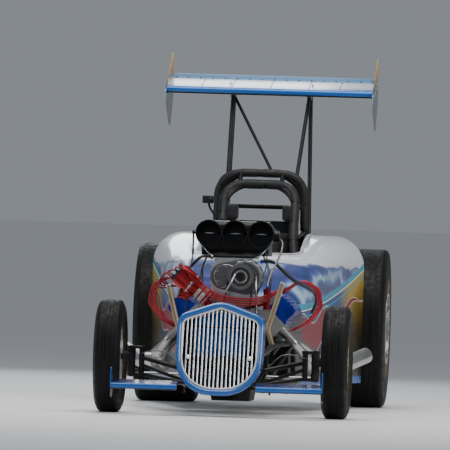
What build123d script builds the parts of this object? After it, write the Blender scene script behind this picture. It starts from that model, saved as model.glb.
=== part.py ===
from build123d import *
import os
from math import cos, radians, sin, tan

# Supercharged altered drag roadster, in millimetres.
# +Z is up, the nose points to -Y and the car's left side is +X.
# The origin is on the ground, under the middle of the car's box.

os.makedirs("parts", exist_ok=True)

# Overall places
FRONT_AXLE_Y = -1970.0
WHEELBASE = 3175.0
REAR_AXLE_Y = FRONT_AXLE_Y + WHEELBASE
NOSE_OVERHANG = 520.0  # from the front axle to the leading edge of the front wings
TAIL_OVERHANG = 1285.0  # from the rear axle to the rearmost point of the wheelie wheels
NOSE_Y = FRONT_AXLE_Y - NOSE_OVERHANG
TAIL_Y = REAR_AXLE_Y + TAIL_OVERHANG

# Clearances
SEAT_GAP = 0.2  # between round pieces that are fastened together
RUN = 0.05  # radial clearance of a shaft in its bearing
FACE_GAP = 0.4  # between flat faces that slide on each other
FREE = 6.0  # between pieces that move past each other

# Wheels
RIM_R = 190.5  # bead seat of a 15 inch rim
RIM_WALL = 6.0
RIM_LIP = 16.0
FRONT_TYRE_R = 305.0
FRONT_TYRE_W = 160.0  # between the sidewalls' corners, before these are rounded
FRONT_TREAD_W = 112.0
FRONT_RIM_W = 104.0
FRONT_TRACK = 1231.0
SLICK_R = 457.0
SLICK_W = 364.0
SLICK_TREAD_W = 350.0
REAR_RIM_W = 356.0
REAR_TRACK = 1090.0
REAR_DISC_INSET = 60.0  # wheel centre, inboard of the middle of the rear rim

# Front axle and steering
KINGPIN_X = 500.0
KINGPIN_R = 11.0
BOSS_R = 22.0
BOSS_LOW = 214.0
BOSS_HIGH = 346.0
LUG_T = 16.0
SPINDLE_R = 15.0
STEER_ARM = 120.0
STEER_ARM_T = 12.0
STEER_ARM_Z = 222.0
TIE_ROD_R = 10.0

# Frame
RAIL_R = 20.0
LOWER_RAIL_Z = 165.0
BRACE_R = 13.0
NOSE_RAIL_X = 170.0
ENGINE_RAIL_X = 250.0
CABIN_RAIL_X = 310.0

# Roll cage
CAGE_R = 17.5
MAIN_HOOP_X = 250.0
MAIN_HOOP_Z = 1332.0
FRONT_HOOP_X = 206.0
FRONT_HOOP_Z = 1268.0
CAGE_BAR_Z = 900.0  # cross bar behind the seat's back
HEAD_BAR_Z = 1140.0  # cross bar behind the head pad

# Body
BODY_WALL = 6.0
BODY_LOW = 148.0
BODY_TOP = 985.0
BODY_HALF_W = 606.0
FIREWALL_HALF_W = 345.0
FIREWALL_TOP = 640.0
DECK_HALF_W = 335.0
COCKPIT_HALF_W = 292.0

# Seat
SEAT_LOW = 438.0

# Grille
GRILLE_W = 468.0
GRILLE_H = 541.0  # along the raked face
GRILLE_RAKE = 20.0
GRILLE_SIDE_RIM = 22.5
GRILLE_END_RIM = 34.0  # at the peak and the foot
GRILLE_DEPTH = 200.0
GRILLE_LOW = 113.0
BAR_PITCH = 22.3
BAR_R = 4.6

# Engine
CRANK_Z = 300.0
BANK_DECK = 250.0  # crank centre to the deck of a bank
BANK_HALF_W = 75.0
HEAD_H = 96.0
COVER_H = 112.0
BLOCK_LENGTH = 560.0
BLOWER_W = 226.0
BLOWER_H = 226.0
BLOWER_LENGTH = 400.0
HAT_BORE_R = 67.0
HAT_PITCH = 144.0
HAT_WALL = 6.0
PULLEY_W = 76.0
TOP_PULLEY_R = 63.0
CRANK_PULLEY_R = 80.0
BELT_T = 6.0

# Front and rear wings
FRONT_WING_CHORD = 150.0
FRONT_WING_T = 34.0
FRONT_WING_TAIL_T = 12.0
FRONT_WING_RISE = 16.0  # degrees, tail up
FRONT_WING_LOW = 134.0
FRONT_WING_TIP_X = 566.0
WING_SPAN = 1195.0
WING_CHORD = 450.0
WING_T = 46.0
WING_DROP = 13.0  # degrees, nose down
WING_Z = 1775.0
PLATE_T = 5.0

# Rear
AXLE_SHAFT_R = 20.0
AXLE_TUBE_R = 45.0
BRAKE_DISC_R = 140.0
WHEELIE_R = 50.0
WHEELIE_W = 38.0
WHEELIE_Z = 84.0


# Shared shapes


def aft(distance):
    """The Y of a point this far behind the front axle."""
    return FRONT_AXLE_Y + distance


def rod(start, end, radius):
    """A round bar from one point to another."""
    run = Vector(*end) - Vector(*start)
    seat = Plane(origin=start, z_dir=run)
    return seat * Cylinder(radius, run.length, align=(Align.CENTER, Align.CENTER, Align.MIN))


def bent_rod(points, bend, radius):
    """A round bar along straight runs joined by arcs."""
    line = FilletPolyline(*points, radius=bend)
    mouth = Plane(origin=line @ 0, z_dir=line % 0)
    return sweep(mouth * Circle(radius), path=line)


def slab(low, high):
    """A block between two opposite corners."""
    low, high = Vector(*low), Vector(*high)
    size = high - low
    return Pos((low + high) * 0.5) * Box(size.X, size.Y, size.Z)


def mirrored(shape):
    """The same piece on the car's right side."""
    return mirror(shape, about=Plane.YZ)


def both(shapes):
    """Left pieces and their mirror images, as one list."""
    return [*shapes, *[mirrored(shape) for shape in shapes]]


def welded(pieces):
    """Pieces joined into one."""
    return Part() + list(pieces)


def turned(outline, corner_r=0.0):
    """A ring about the X axis, from rows of (across, radius)."""
    face = Sketch() + make_face(Polyline(*outline, close=True))
    if corner_r:
        face = fillet(face.vertices(), corner_r)
    return revolve(face, axis=Axis.X)


def save(name, *shapes):
    """Writes one sub-part's solids to its own file."""
    solids = [solid for shape in shapes for solid in shape.solids()]
    export_step(Compound(solids), f"parts/{name}.step")


# Wheels and tyres, made about the X axis with the car's left side outward


def tyre(radius, width, tread_width, bead_width, shoulder_r, belly_r):
    """A tyre, filled down to its bead seat."""
    seat = RIM_R + SEAT_GAP
    over_lip = RIM_R + RIM_LIP + 3
    belly = over_lip + (radius - over_lip) * 0.42
    half_outline = [
        (bead_width / 2, seat),
        (bead_width / 2, over_lip),
        (width / 2, belly),
        (tread_width / 2, radius),
    ]
    outline = half_outline + [(-across, r) for across, r in reversed(half_outline)]
    face = Sketch() + make_face(Polyline(*outline, close=True))
    face = fillet(face.vertices().sort_by(Axis.Y)[-2:], shoulder_r)
    face = fillet(face.vertices().sort_by(Axis.Y)[4:6], belly_r)
    return revolve(face, axis=Axis.X)


def barrel(width):
    """The rim's barrel with a lip at each side."""
    half = width / 2
    flange = RIM_WALL + 2
    lip = RIM_R + RIM_LIP
    bore = RIM_R - RIM_WALL
    return turned([
        (-half, bore),
        (half, bore),
        (half, lip),
        (half - flange, lip),
        (half - flange, RIM_R),
        (-half + flange, RIM_R),
        (-half + flange, lip),
        (-half, lip),
    ])


def spoked_disc(across, thickness, hub_r, spoke_w, count):
    """The wheel's centre disc with windows between its spokes."""
    outer = RIM_R - RIM_WALL
    window_r = outer - 16
    disc = Circle(outer + 1)
    windows = Circle(window_r) - Circle(hub_r + 14)
    for i in range(count):
        windows -= Rot(0, 0, 360 / count * i) * Pos(window_r / 2 + 10, 0) * Rectangle(window_r, spoke_w)
    windows = fillet(windows.vertices(), 9)
    face = Plane(origin=(across, 0, 0), z_dir=(1, 0, 0)) * (disc - windows)
    return extrude(face, amount=thickness)


# Front wheels

WHEEL_X = FRONT_TRACK / 2
HUB_R = 38.0
HUB_IN = 60.0  # hub's inner end, inboard of the wheel's middle
HUB_OUT = 34.0
CAP_R = 27.0
at_front_wheel = Pos(WHEEL_X, FRONT_AXLE_Y, FRONT_TYRE_R)

front_bead_w = FRONT_RIM_W - 2 * (RIM_WALL + 2) - 2 * SEAT_GAP
front_tyre = at_front_wheel * tyre(FRONT_TYRE_R, FRONT_TYRE_W, FRONT_TREAD_W, front_bead_w, 26, 40)

front_hub = turned([
    (-HUB_IN, SPINDLE_R + RUN),
    (HUB_OUT, SPINDLE_R + RUN),
    (HUB_OUT, 0),
    (HUB_OUT + 14, 0),
    (HUB_OUT + 14, CAP_R - 8),
    (HUB_OUT + 6, CAP_R),
    (10, HUB_R),
    (-HUB_IN, HUB_R),
])
front_rim = at_front_wheel * welded([
    barrel(FRONT_RIM_W),
    spoked_disc(-2, 9, HUB_R, 34, 5) - rod((-20, 0, 0), (20, 0, 0), HUB_R - 2),
    front_hub,
])

for side, tyre_part, rim_part in (
    ("left", front_tyre, front_rim),
    ("right", mirrored(front_tyre), mirrored(front_rim)),
):
    save(f"front_tyre_{side}", tyre_part)
    save(f"front_rim_{side}", rim_part)

# Knuckles: a boss on the kingpin, the spindle and a steering arm

SPINDLE_END = WHEEL_X + HUB_OUT - FREE
hub_face = WHEEL_X - HUB_IN
ARM_END = (KINGPIN_X - 18, FRONT_AXLE_Y + STEER_ARM)
LUG_LOW = BOSS_LOW - FACE_GAP - LUG_T
LUG_HIGH = BOSS_HIGH + FACE_GAP + LUG_T

axle_point = (KINGPIN_X, FRONT_AXLE_Y, FRONT_TYRE_R)
knuckle_left = welded([
    rod((KINGPIN_X, FRONT_AXLE_Y, BOSS_LOW), (KINGPIN_X, FRONT_AXLE_Y, BOSS_HIGH), BOSS_R),
    rod((KINGPIN_X, FRONT_AXLE_Y, LUG_LOW - 3), (KINGPIN_X, FRONT_AXLE_Y, LUG_HIGH + 3), KINGPIN_R),
    rod(axle_point, (SPINDLE_END, FRONT_AXLE_Y, FRONT_TYRE_R), SPINDLE_R),
    rod(axle_point, (hub_face - FREE, FRONT_AXLE_Y, FRONT_TYRE_R), BOSS_R + 4),
    Pos(0, 0, STEER_ARM_Z) * extrude(
        make_hull([
            *(Pos(KINGPIN_X, FRONT_AXLE_Y) * Circle(18)).edges(),
            *(Pos(*ARM_END) * Circle(14)).edges(),
        ]),
        amount=STEER_ARM_T,
    ),
])
save("knuckle_left", knuckle_left)
save("knuckle_right", mirrored(knuckle_left))

# Front axle truss: yokes for the kingpins, a pair of arms and a lower brace each side

YOKE_X = KINGPIN_X - 56
YOKE_R = 15.0
ARM_TUBE_R = 12.0
BRACKET_R = 9.0
ARM_FRAME_X = 232.0
ARM_FRAME_Z = 250.0
ARM_SPREAD = 90.0
yoke_z = (LUG_LOW + LUG_HIGH) / 2
pin_hole = rod(
    (KINGPIN_X, FRONT_AXLE_Y, LUG_LOW - 20), (KINGPIN_X, FRONT_AXLE_Y, LUG_HIGH + 20), KINGPIN_R + RUN)


def yoke_lug(low):
    """A flat lug round the kingpin."""
    outline = make_hull([
        *(Pos(KINGPIN_X, FRONT_AXLE_Y) * Circle(BOSS_R)).edges(),
        *(Pos(YOKE_X, FRONT_AXLE_Y) * Circle(YOKE_R + 4)).edges(),
    ])
    return Pos(0, 0, low) * extrude(outline, amount=LUG_T)


truss_left = welded([
    yoke_lug(LUG_LOW),
    yoke_lug(LUG_HIGH - LUG_T),
    rod((YOKE_X, FRONT_AXLE_Y, LUG_LOW), (YOKE_X, FRONT_AXLE_Y, LUG_HIGH), YOKE_R),
    rod((YOKE_X, FRONT_AXLE_Y, yoke_z + 20), (ARM_FRAME_X, aft(-ARM_SPREAD), ARM_FRAME_Z), ARM_TUBE_R),
    rod((YOKE_X, FRONT_AXLE_Y, yoke_z + 20), (ARM_FRAME_X, aft(ARM_SPREAD), ARM_FRAME_Z), ARM_TUBE_R),
    rod((YOKE_X, FRONT_AXLE_Y, yoke_z - 20), (NOSE_RAIL_X, FRONT_AXLE_Y + 40, LOWER_RAIL_Z), ARM_TUBE_R - 2),
    rod((YOKE_X, FRONT_AXLE_Y, LUG_LOW + 12), (NOSE_RAIL_X, FRONT_AXLE_Y - 40, LOWER_RAIL_Z), ARM_TUBE_R - 2),
]) - pin_hole

# Chassis frame: bent main rails, then straight tubes from a table

UPPER_RAIL_R = 16.0
UPPER_ENGINE_Z = 385.0
UPPER_CABIN_Z = 470.0
UPPER_TAIL_Z = 610.0
# Rail corners: distance behind the front axle, half spacing, height
LOWER_RAIL = (
    (-150, NOSE_RAIL_X, LOWER_RAIL_Z),
    (450, ENGINE_RAIL_X, LOWER_RAIL_Z),
    (1250, CABIN_RAIL_X, LOWER_RAIL_Z),
    (2700, CABIN_RAIL_X, LOWER_RAIL_Z),
    (3150, CABIN_RAIL_X - 10, 250),
)
UPPER_RAIL = (
    (-150, NOSE_RAIL_X, 300),
    (450, ENGINE_RAIL_X, UPPER_ENGINE_Z),
    (1300, CABIN_RAIL_X, UPPER_ENGINE_Z),
    (2300, CABIN_RAIL_X, UPPER_CABIN_Z),
    (2950, CABIN_RAIL_X - 20, UPPER_TAIL_Z),
    (3400, CABIN_RAIL_X - 20, UPPER_TAIL_Z),
)


def on_rail(rail, distance):
    """The point of a left rail's centre line at a distance behind the front axle."""
    for (near, near_x, near_z), (far, far_x, far_z) in zip(rail, rail[1:]):
        if distance <= far:
            break
    share = (distance - near) / (far - near)
    return (near_x + (far_x - near_x) * share, aft(distance), near_z + (far_z - near_z) * share)


def lower_x(distance):
    """Half the spacing of the lower rails at a distance behind the front axle."""
    return on_rail(LOWER_RAIL, distance)[0]


def rail_tube(corners, bend, radius):
    """A main rail through its corners."""
    return bent_rod([(x, aft(distance), z) for distance, x, z in corners], bend, radius)


frame_left = [rail_tube(LOWER_RAIL, 300, RAIL_R), rail_tube(UPPER_RAIL, 200, UPPER_RAIL_R)]
# Uprights and diagonals: where each meets the lower rail and the upper rail
for low_end, high_end in (
    (-130, -130), (200, 200), (1200, 1200), (1750, 1750), (2300, 2300), (2720, 2720),
    (200, 1200), (1750, 1200), (1750, 2300), (2720, 2300), (3000, 2960), (3140, 3330),
):
    frame_left.append(rod(on_rail(LOWER_RAIL, low_end), on_rail(UPPER_RAIL, high_end), BRACE_R))

frame_across = []
# Crossmembers: the rail that they join and their distance behind the front axle
for rail, distance in (
    (LOWER_RAIL, -130), (LOWER_RAIL, STEER_ARM), (LOWER_RAIL, 1250), (LOWER_RAIL, 2000), (LOWER_RAIL, 2690),
    (UPPER_RAIL, -130), (UPPER_RAIL, 2960), (UPPER_RAIL, 3380),
):
    x, y, z = on_rail(rail, distance)
    frame_across.append(rod((-x, y, z), (x, y, z), BRACE_R - 1))
# Cross tube under the front of the seat
SEAT_TUBE_R = 11.0
seat_tube_z = SEAT_LOW - SEAT_GAP - SEAT_TUBE_R
frame_across.append(rod(
    (-CABIN_RAIL_X, aft(2300), seat_tube_z), (CABIN_RAIL_X, aft(2300), seat_tube_z), SEAT_TUBE_R))

# Engine plates: they carry the block's front face and the bellhousing
PLATE_FRONT = 492.0
PLATE_REAR = 1066.0
PLATE_THICK = 8.0


def engine_plate(distance, half_width, hole_r):
    """A flat plate across the rails."""
    outline = Rectangle(2 * half_width, UPPER_ENGINE_Z - LOWER_RAIL_Z)
    middle_z = (UPPER_ENGINE_Z + LOWER_RAIL_Z) / 2 + 10
    plane = Plane(origin=(0, aft(distance), middle_z), x_dir=(1, 0, 0), z_dir=(0, 1, 0))
    return extrude(plane * outline, amount=PLATE_THICK) - rod(
        (0, aft(distance) - 20, CRANK_Z), (0, aft(distance) + 40, CRANK_Z), hole_r)


frame_across.append(engine_plate(PLATE_FRONT - PLATE_THICK, lower_x(PLATE_FRONT) - 12, 60))
frame_across.append(engine_plate(PLATE_REAR, lower_x(PLATE_REAR) - 12, 110))

# Tie-down lugs and the rear push bar
LUG_R = 24.0
LUG_HOLE_R = 12.5
LUG_PLATE_T = 10.0
LUG_Z = LOWER_RAIL_Z - RAIL_R - 13
HOLE_DROP = 3.0  # the hole's centre lies this far below the lug's
TIE_DOWN = (330.0, 2560.0)  # distances of the lugs behind the front axle


def tie_down(distance):
    """A lug with a hole along X, under the lower rail."""
    inner, outer = lower_x(distance) - LUG_PLATE_T / 2, lower_x(distance) + LUG_PLATE_T / 2
    y = aft(distance)
    lug = rod((inner, y, LUG_Z), (outer, y, LUG_Z), LUG_R)
    web = slab((inner, y - LUG_R, LUG_Z), (outer, y + LUG_R, LOWER_RAIL_Z))
    hole = rod((inner - 5, y, LUG_Z - HOLE_DROP), (outer + 5, y, LUG_Z - HOLE_DROP), LUG_HOLE_R)
    return (lug + web) - hole


frame_left += [tie_down(distance) for distance in TIE_DOWN]
PUSH_BAR_Y = aft(3510)
PUSH_BAR_Z = UPPER_TAIL_Z - 80
push_bar = slab((-150, PUSH_BAR_Y - 8, PUSH_BAR_Z - 40), (150, PUSH_BAR_Y, PUSH_BAR_Z + 40))
push_legs = both([rod((90, aft(3380), UPPER_TAIL_Z), (90, PUSH_BAR_Y - 4, PUSH_BAR_Z), BRACE_R)])
chassis_frame = welded([*both(frame_left), *frame_across, push_bar, *push_legs])
save("chassis_frame", chassis_frame)

# The arms' inner ends sit on short brackets welded to the truss and coped to the rails
arm_brackets = [
    rod((ARM_FRAME_X, aft(behind), ARM_FRAME_Z), (lower_x(behind) - 6, aft(behind), LOWER_RAIL_Z), BRACKET_R)
    for behind in (-ARM_SPREAD, ARM_SPREAD)
]
front_axle_left = welded([truss_left, *arm_brackets]) - chassis_frame
front_axle_left = sorted(front_axle_left.solids(), key=lambda solid: solid.volume)[-1]
save("front_axle", front_axle_left, mirrored(front_axle_left))

# Tie rod with an eye under each steering arm, sliding in the rack's housing

tie_z = STEER_ARM_Z - FACE_GAP - TIE_ROD_R
tie_y = FRONT_AXLE_Y + STEER_ARM
EYE_R = 15.0
tie_rod = welded([
    rod((-ARM_END[0], tie_y, tie_z), (ARM_END[0], tie_y, tie_z), TIE_ROD_R - 1),
    *both([rod((ARM_END[0], tie_y, tie_z - TIE_ROD_R), (ARM_END[0], tie_y, tie_z + TIE_ROD_R), EYE_R)]),
])
save("tie_rod", tie_rod)

# Steering shaft: rack housing, a shaft beside the engine and the column to the wheel

RACK_HALF = 110.0
RACK_R = 20.0
SHAFT_R = 10.0
WHEEL_Y = aft(2100)
STEERING_WHEEL_Z = 800.0
COLUMN_TILT = 20.0
COLUMN_R = 16.0
WHEEL_RING_R = 140.0
column_dir = (0, -cos(radians(COLUMN_TILT)), -sin(radians(COLUMN_TILT)))


def along_column(distance):
    """A point on the column's axis, this far ahead of the steering wheel."""
    return (0, WHEEL_Y + column_dir[1] * distance, STEERING_WHEEL_Z + column_dir[2] * distance)


COLUMN_LENGTH = 420.0
rack = rod((-RACK_HALF, tie_y, tie_z), (RACK_HALF, tie_y, tie_z), RACK_R) - rod(
    (-RACK_HALF - 5, tie_y, tie_z), (RACK_HALF + 5, tie_y, tie_z), TIE_ROD_R - 1 + RUN)
shaft_line = [
    (90, tie_y + RACK_R + 6, tie_z + 30),
    (214, aft(420), 300),
    (262, aft(1240), 420),
    along_column(COLUMN_LENGTH - 10),
]
steering_shaft = welded([
    rack,
    rod((90, tie_y, tie_z + 14), shaft_line[0], SHAFT_R + 4),
    *[rod(start, end, SHAFT_R) for start, end in zip(shaft_line, shaft_line[1:])],
    *[Pos(*point) * Sphere(SHAFT_R + 7) for point in shaft_line[:-1]],
    rod(along_column(40), along_column(COLUMN_LENGTH), COLUMN_R),
    rod(along_column(-30), along_column(60), SHAFT_R),
    *[rod((x, tie_y, tie_z), (x, tie_y, LOWER_RAIL_Z), 9) for x in (-80, 80)],
])

ring_plane = Plane(origin=along_column(0), x_dir=(1, 0, 0), z_dir=column_dir)
ring = ring_plane * Torus(WHEEL_RING_R, 11)
wheel_hub = rod(along_column(-24), along_column(24), 26)
wheel_spokes = []
for angle in (90, 210, 330):
    on_ring = ring_plane * Pos(WHEEL_RING_R * cos(radians(angle)), WHEEL_RING_R * sin(radians(angle)), 0)
    wheel_spokes.append(rod(along_column(0), on_ring.position, 8))
wheel_bore = rod(along_column(-30), along_column(30), SHAFT_R + RUN)
steering_wheel = welded([ring, wheel_hub, *wheel_spokes]) - wheel_bore
save("steering_wheel", steering_wheel)

# Roll cage: main hoop, front hoop leaning forward, back braces and side bars

main_foot = on_rail(UPPER_RAIL, 2720)
front_foot = on_rail(UPPER_RAIL, 2140)
main_hoop = bent_rod(
    [
        (-main_foot[0], *main_foot[1:]),
        (-MAIN_HOOP_X, aft(2720), 860),
        (-MAIN_HOOP_X, aft(2720), MAIN_HOOP_Z),
        (MAIN_HOOP_X, aft(2720), MAIN_HOOP_Z),
        (MAIN_HOOP_X, aft(2720), 860),
        main_foot,
    ],
    [150, 195, 195, 150],
    CAGE_R,
)
front_hoop = bent_rod(
    [
        (-front_foot[0], *front_foot[1:]),
        (-FRONT_HOOP_X, aft(2430), 930),
        (-FRONT_HOOP_X, aft(2630), FRONT_HOOP_Z),
        (FRONT_HOOP_X, aft(2630), FRONT_HOOP_Z),
        (FRONT_HOOP_X, aft(2430), 930),
        front_foot,
    ],
    [150, 170, 170, 150],
    CAGE_R,
)
BACK_BRACE = ((MAIN_HOOP_X - 25, aft(2720), 1270), (CABIN_RAIL_X - 20, aft(3250), UPPER_TAIL_Z))
cage_braces = both([
    rod(*BACK_BRACE, BRACE_R + 2),
    rod((120, aft(2630), FRONT_HOOP_Z), (120, aft(2720), MAIN_HOOP_Z), BRACE_R),
    rod((FRONT_HOOP_X, aft(2440), 950), (MAIN_HOOP_X, aft(2720), 1000), BRACE_R),
])
cage_cross = [
    rod((-MAIN_HOOP_X, aft(2720), CAGE_BAR_Z), (MAIN_HOOP_X, aft(2720), CAGE_BAR_Z), BRACE_R),
    rod((-MAIN_HOOP_X, aft(2720), HEAD_BAR_Z), (MAIN_HOOP_X, aft(2720), HEAD_BAR_Z), BRACE_R),
    rod((MAIN_HOOP_X - 60, aft(2720), 1300), (MAIN_HOOP_X, aft(2720), 1100), BRACE_R - 3),
]
roll_cage = welded([main_hoop, front_hoop, *cage_braces, *cage_cross]) - chassis_frame
roll_cage = sorted(roll_cage.solids(), key=lambda solid: solid.volume)[-1]
save("roll_cage", roll_cage)

steering_shaft = steering_shaft - chassis_frame
steering_shaft = sorted(steering_shaft.solids(), key=lambda solid: solid.volume)[-1]
save("steering_shaft", steering_shaft)

# Body: a wide front loft from the firewall to the wheels, and a narrow deck behind the cage

FIREWALL_Y = aft(1250)
FLARE_Y = aft(2650)
DECK_END_Y = aft(3480)
# Sections: Y, half width, low edge, top, shoulder radius
body_sections = (
    (FIREWALL_Y, FIREWALL_HALF_W, BODY_LOW, FIREWALL_TOP, 110),
    (aft(1950), (FIREWALL_HALF_W + BODY_HALF_W) / 2 - 10, BODY_LOW, BODY_TOP - 80, 145),
    (FLARE_Y, BODY_HALF_W, BODY_LOW, BODY_TOP, 180),
)


def section(y, half_width, low, top, shoulder_r, inset=0.0, drop=0.0):
    """A body section with round shoulders, pulled in by a wall and let down below its low edge."""
    half = half_width - inset
    height = (top - inset) - (low - drop)
    plane = Plane(origin=(0, y, (top - inset + low - drop) / 2), x_dir=(1, 0, 0), z_dir=(0, -1, 0))
    outline = Sketch() + Rectangle(2 * half, height)
    outline = fillet(outline.vertices().sort_by(Axis.Y)[-2:], shoulder_r - inset)
    return plane * outline


def extended(rows, front, back):
    """The same sections, with the first and last moved along Y."""
    first, *middle, last = rows
    return [(first[0] + front, *first[1:]), *middle, (last[0] + back, *last[1:])]


body_outer = loft([section(*row) for row in body_sections])
body_inner = loft([section(*row, inset=BODY_WALL, drop=30) for row in extended(body_sections, 0, -BODY_WALL)])
DECK_LOW = UPPER_TAIL_Z - 60
deck_sections = (
    (FLARE_Y - 20, DECK_HALF_W, DECK_LOW, BODY_TOP, 120),
    (aft(3050), DECK_HALF_W, DECK_LOW, BODY_TOP - 30, 120),
    (DECK_END_Y, DECK_HALF_W - 13, UPPER_TAIL_Z - 10, BODY_TOP - 210, 90),
)
deck_outer = loft([section(*row) for row in deck_sections])
inner_rows = extended(deck_sections, -30, -BODY_WALL)
deck_inner = loft([section(*row, inset=BODY_WALL, drop=60) for row in inner_rows])
# The rear wall is open where the frame passes, below the deck and a little way up inside it
rail_side = CABIN_RAIL_X + RAIL_R + FREE
deck_side = DECK_HALF_W - BODY_WALL
rear_window = welded([
    slab((-rail_side, FLARE_Y - 3 * BODY_WALL, BODY_LOW - 40), (rail_side, FLARE_Y + 2, DECK_LOW - 1)),
    slab((-deck_side, FLARE_Y - 3 * BODY_WALL, DECK_LOW - 20), (deck_side, FLARE_Y + 2, DECK_LOW + 30)),
])
COCKPIT_FRONT = aft(1840)
COCKPIT_BACK = aft(2775)
cockpit_plane = Plane(origin=(0, (COCKPIT_FRONT + COCKPIT_BACK) / 2, BODY_TOP - 300))
cockpit_cut = extrude(
    cockpit_plane * RectangleRounded(2 * COCKPIT_HALF_W, COCKPIT_BACK - COCKPIT_FRONT, 70), amount=400)
brace_slots = both([rod(*BACK_BRACE, BRACE_R + 8)])
STRUT_FOOT = (250.0, aft(3300), UPPER_TAIL_Z)
WING_Y = aft(3400)
STRUT_TOP_X = 222.0
strut_slots = both([rod(STRUT_FOOT, (STRUT_TOP_X, WING_Y + 60, WING_Z), 20)])
hollow = body_inner + deck_inner
body_shell = (body_outer + deck_outer) - hollow - cockpit_cut - rear_window
for slot in [*brace_slots, *strut_slots]:
    body_shell = body_shell - slot
body_shell = sorted(body_shell.solids(), key=lambda solid: solid.volume)[-1]
save("body_shell", body_shell)

# Firewall: a flat panel just ahead of the body's mouth, notched for the bellhousing, rails and shaft

PANEL_T = 4.0
TUNNEL_R = 175.0
firewall = extrude(Pos(0, -FACE_GAP, 0) * section(*body_sections[0]), amount=PANEL_T)
firewall_cuts = [
    rod((0, FIREWALL_Y - 40, CRANK_Z), (0, FIREWALL_Y + 40, CRANK_Z), TUNNEL_R),
    slab((-TUNNEL_R, FIREWALL_Y - 40, BODY_LOW - 20), (TUNNEL_R, FIREWALL_Y + 40, CRANK_Z)),
    rod(shaft_line[1], shaft_line[2], SHAFT_R + FREE),
    rod(shaft_line[2], shaft_line[3], SHAFT_R + 7 + FREE),
    Pos(*shaft_line[2]) * Sphere(SHAFT_R + 7 + FREE),
]
for cut in firewall_cuts:
    firewall = firewall - cut
firewall = firewall - chassis_frame
firewall = sorted(firewall.solids(), key=lambda solid: solid.volume)[-1]
save("firewall", firewall)

# Belly pan under the cabin rails

pan_top = LOWER_RAIL_Z - RAIL_R
PAN_T = 3.0
pan_front = lower_x(1270) + 20
belly_pan = Pos(0, 0, pan_top - PAN_T) * extrude(
    make_face(Polyline(
        (-pan_front, aft(1270)), (pan_front, aft(1270)),
        (pan_front, aft(2640)), (-pan_front, aft(2640)), close=True)),
    amount=PAN_T)
for distance in TIE_DOWN:
    x = lower_x(distance)
    for sign in (-1, 1):
        slot_low = (sign * x - 12, aft(distance) - 32, pan_top - 20)
        belly_pan = belly_pan - slab(slot_low, (sign * x + 12, aft(distance) + 32, pan_top + 5))
save("belly_pan", belly_pan)

# Grille shell, leaning back, and its bars

grille_plane = Plane(
    origin=(0, NOSE_Y + 70, GRILLE_LOW),
    x_dir=(1, 0, 0),
    z_dir=(0, -cos(radians(GRILLE_RAKE)), sin(radians(GRILLE_RAKE))),
)
half_w = GRILLE_W / 2
SHELL_PEAK_R = 150.0
MOUTH_PEAK_R = 14.0
# Outline corners: across, up the raked face, corner radius
grille_corners = (
    (0, GRILLE_H, SHELL_PEAK_R),
    (half_w, GRILLE_H - 87, 75),
    (half_w - 2, 231, 600),
    (half_w - 18, 7, 200),
    (0, 0, 260),
)


def grille_outline(side=0.0, end=0.0, peak_r=SHELL_PEAK_R):
    """The shell's face outline, pulled in at the sides and at the peak and foot."""
    wide = 1 - side / half_w
    tall = 1 - 2 * end / GRILLE_H
    right = [(x * wide, end + up * tall, r - side) for x, up, r in grille_corners]
    right[0] = (0, GRILLE_H - end, peak_r)
    corners = right + [(-x, up, r) for x, up, r in reversed(right[1:-1])]
    face = Sketch() + make_face(Polyline(*[(x, up) for x, up, _ in corners], close=True))
    for x, up, radius in corners:
        near = face.vertices().sort_by_distance(Vector(x, up, 0))[0]
        face = fillet(near, radius)
    return face


def behind_face(back):
    """The raked face's plane, moved straight back."""
    return Plane(origin=grille_plane.origin + Vector(0, back, 0), x_dir=(1, 0, 0), z_dir=grille_plane.z_dir)


def grille_prism(outline, set_back, depth):
    """An outline of the raked face, run straight back from a distance behind that face."""
    return extrude(behind_face(set_back) * outline, amount=depth, dir=(0, 1, 0))


def grille_steps(rows, peak_r):
    """A prism with bevelled steps, from rows of (set back, side margin, end margin)."""
    return loft(
        [behind_face(back) * grille_outline(side, end, peak_r) for back, side, end in rows], ruled=True)


SHELL_WALL = 5.0
FACE_T = 30.0
ROUND_BACK = 11.0  # depth of the rounding at the face
shell_body = grille_steps([(0, 8, 8), (3, 2.5, 2.5), (ROUND_BACK, 0, 0), (GRILLE_DEPTH, 0, 0)], SHELL_PEAK_R)
grille_mouth = grille_steps([
    (-1, GRILLE_SIDE_RIM - 9, GRILLE_END_RIM - 9), (3, GRILLE_SIDE_RIM - 3, GRILLE_END_RIM - 3),
    (ROUND_BACK, GRILLE_SIDE_RIM, GRILLE_END_RIM), (FACE_T + 5, GRILLE_SIDE_RIM, GRILLE_END_RIM),
], MOUTH_PEAK_R)
grille_room = grille_prism(grille_outline(SHELL_WALL, SHELL_WALL), FACE_T, GRILLE_DEPTH)
grille_shell = shell_body - grille_mouth - grille_room
save("grille_shell", grille_shell)

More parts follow.
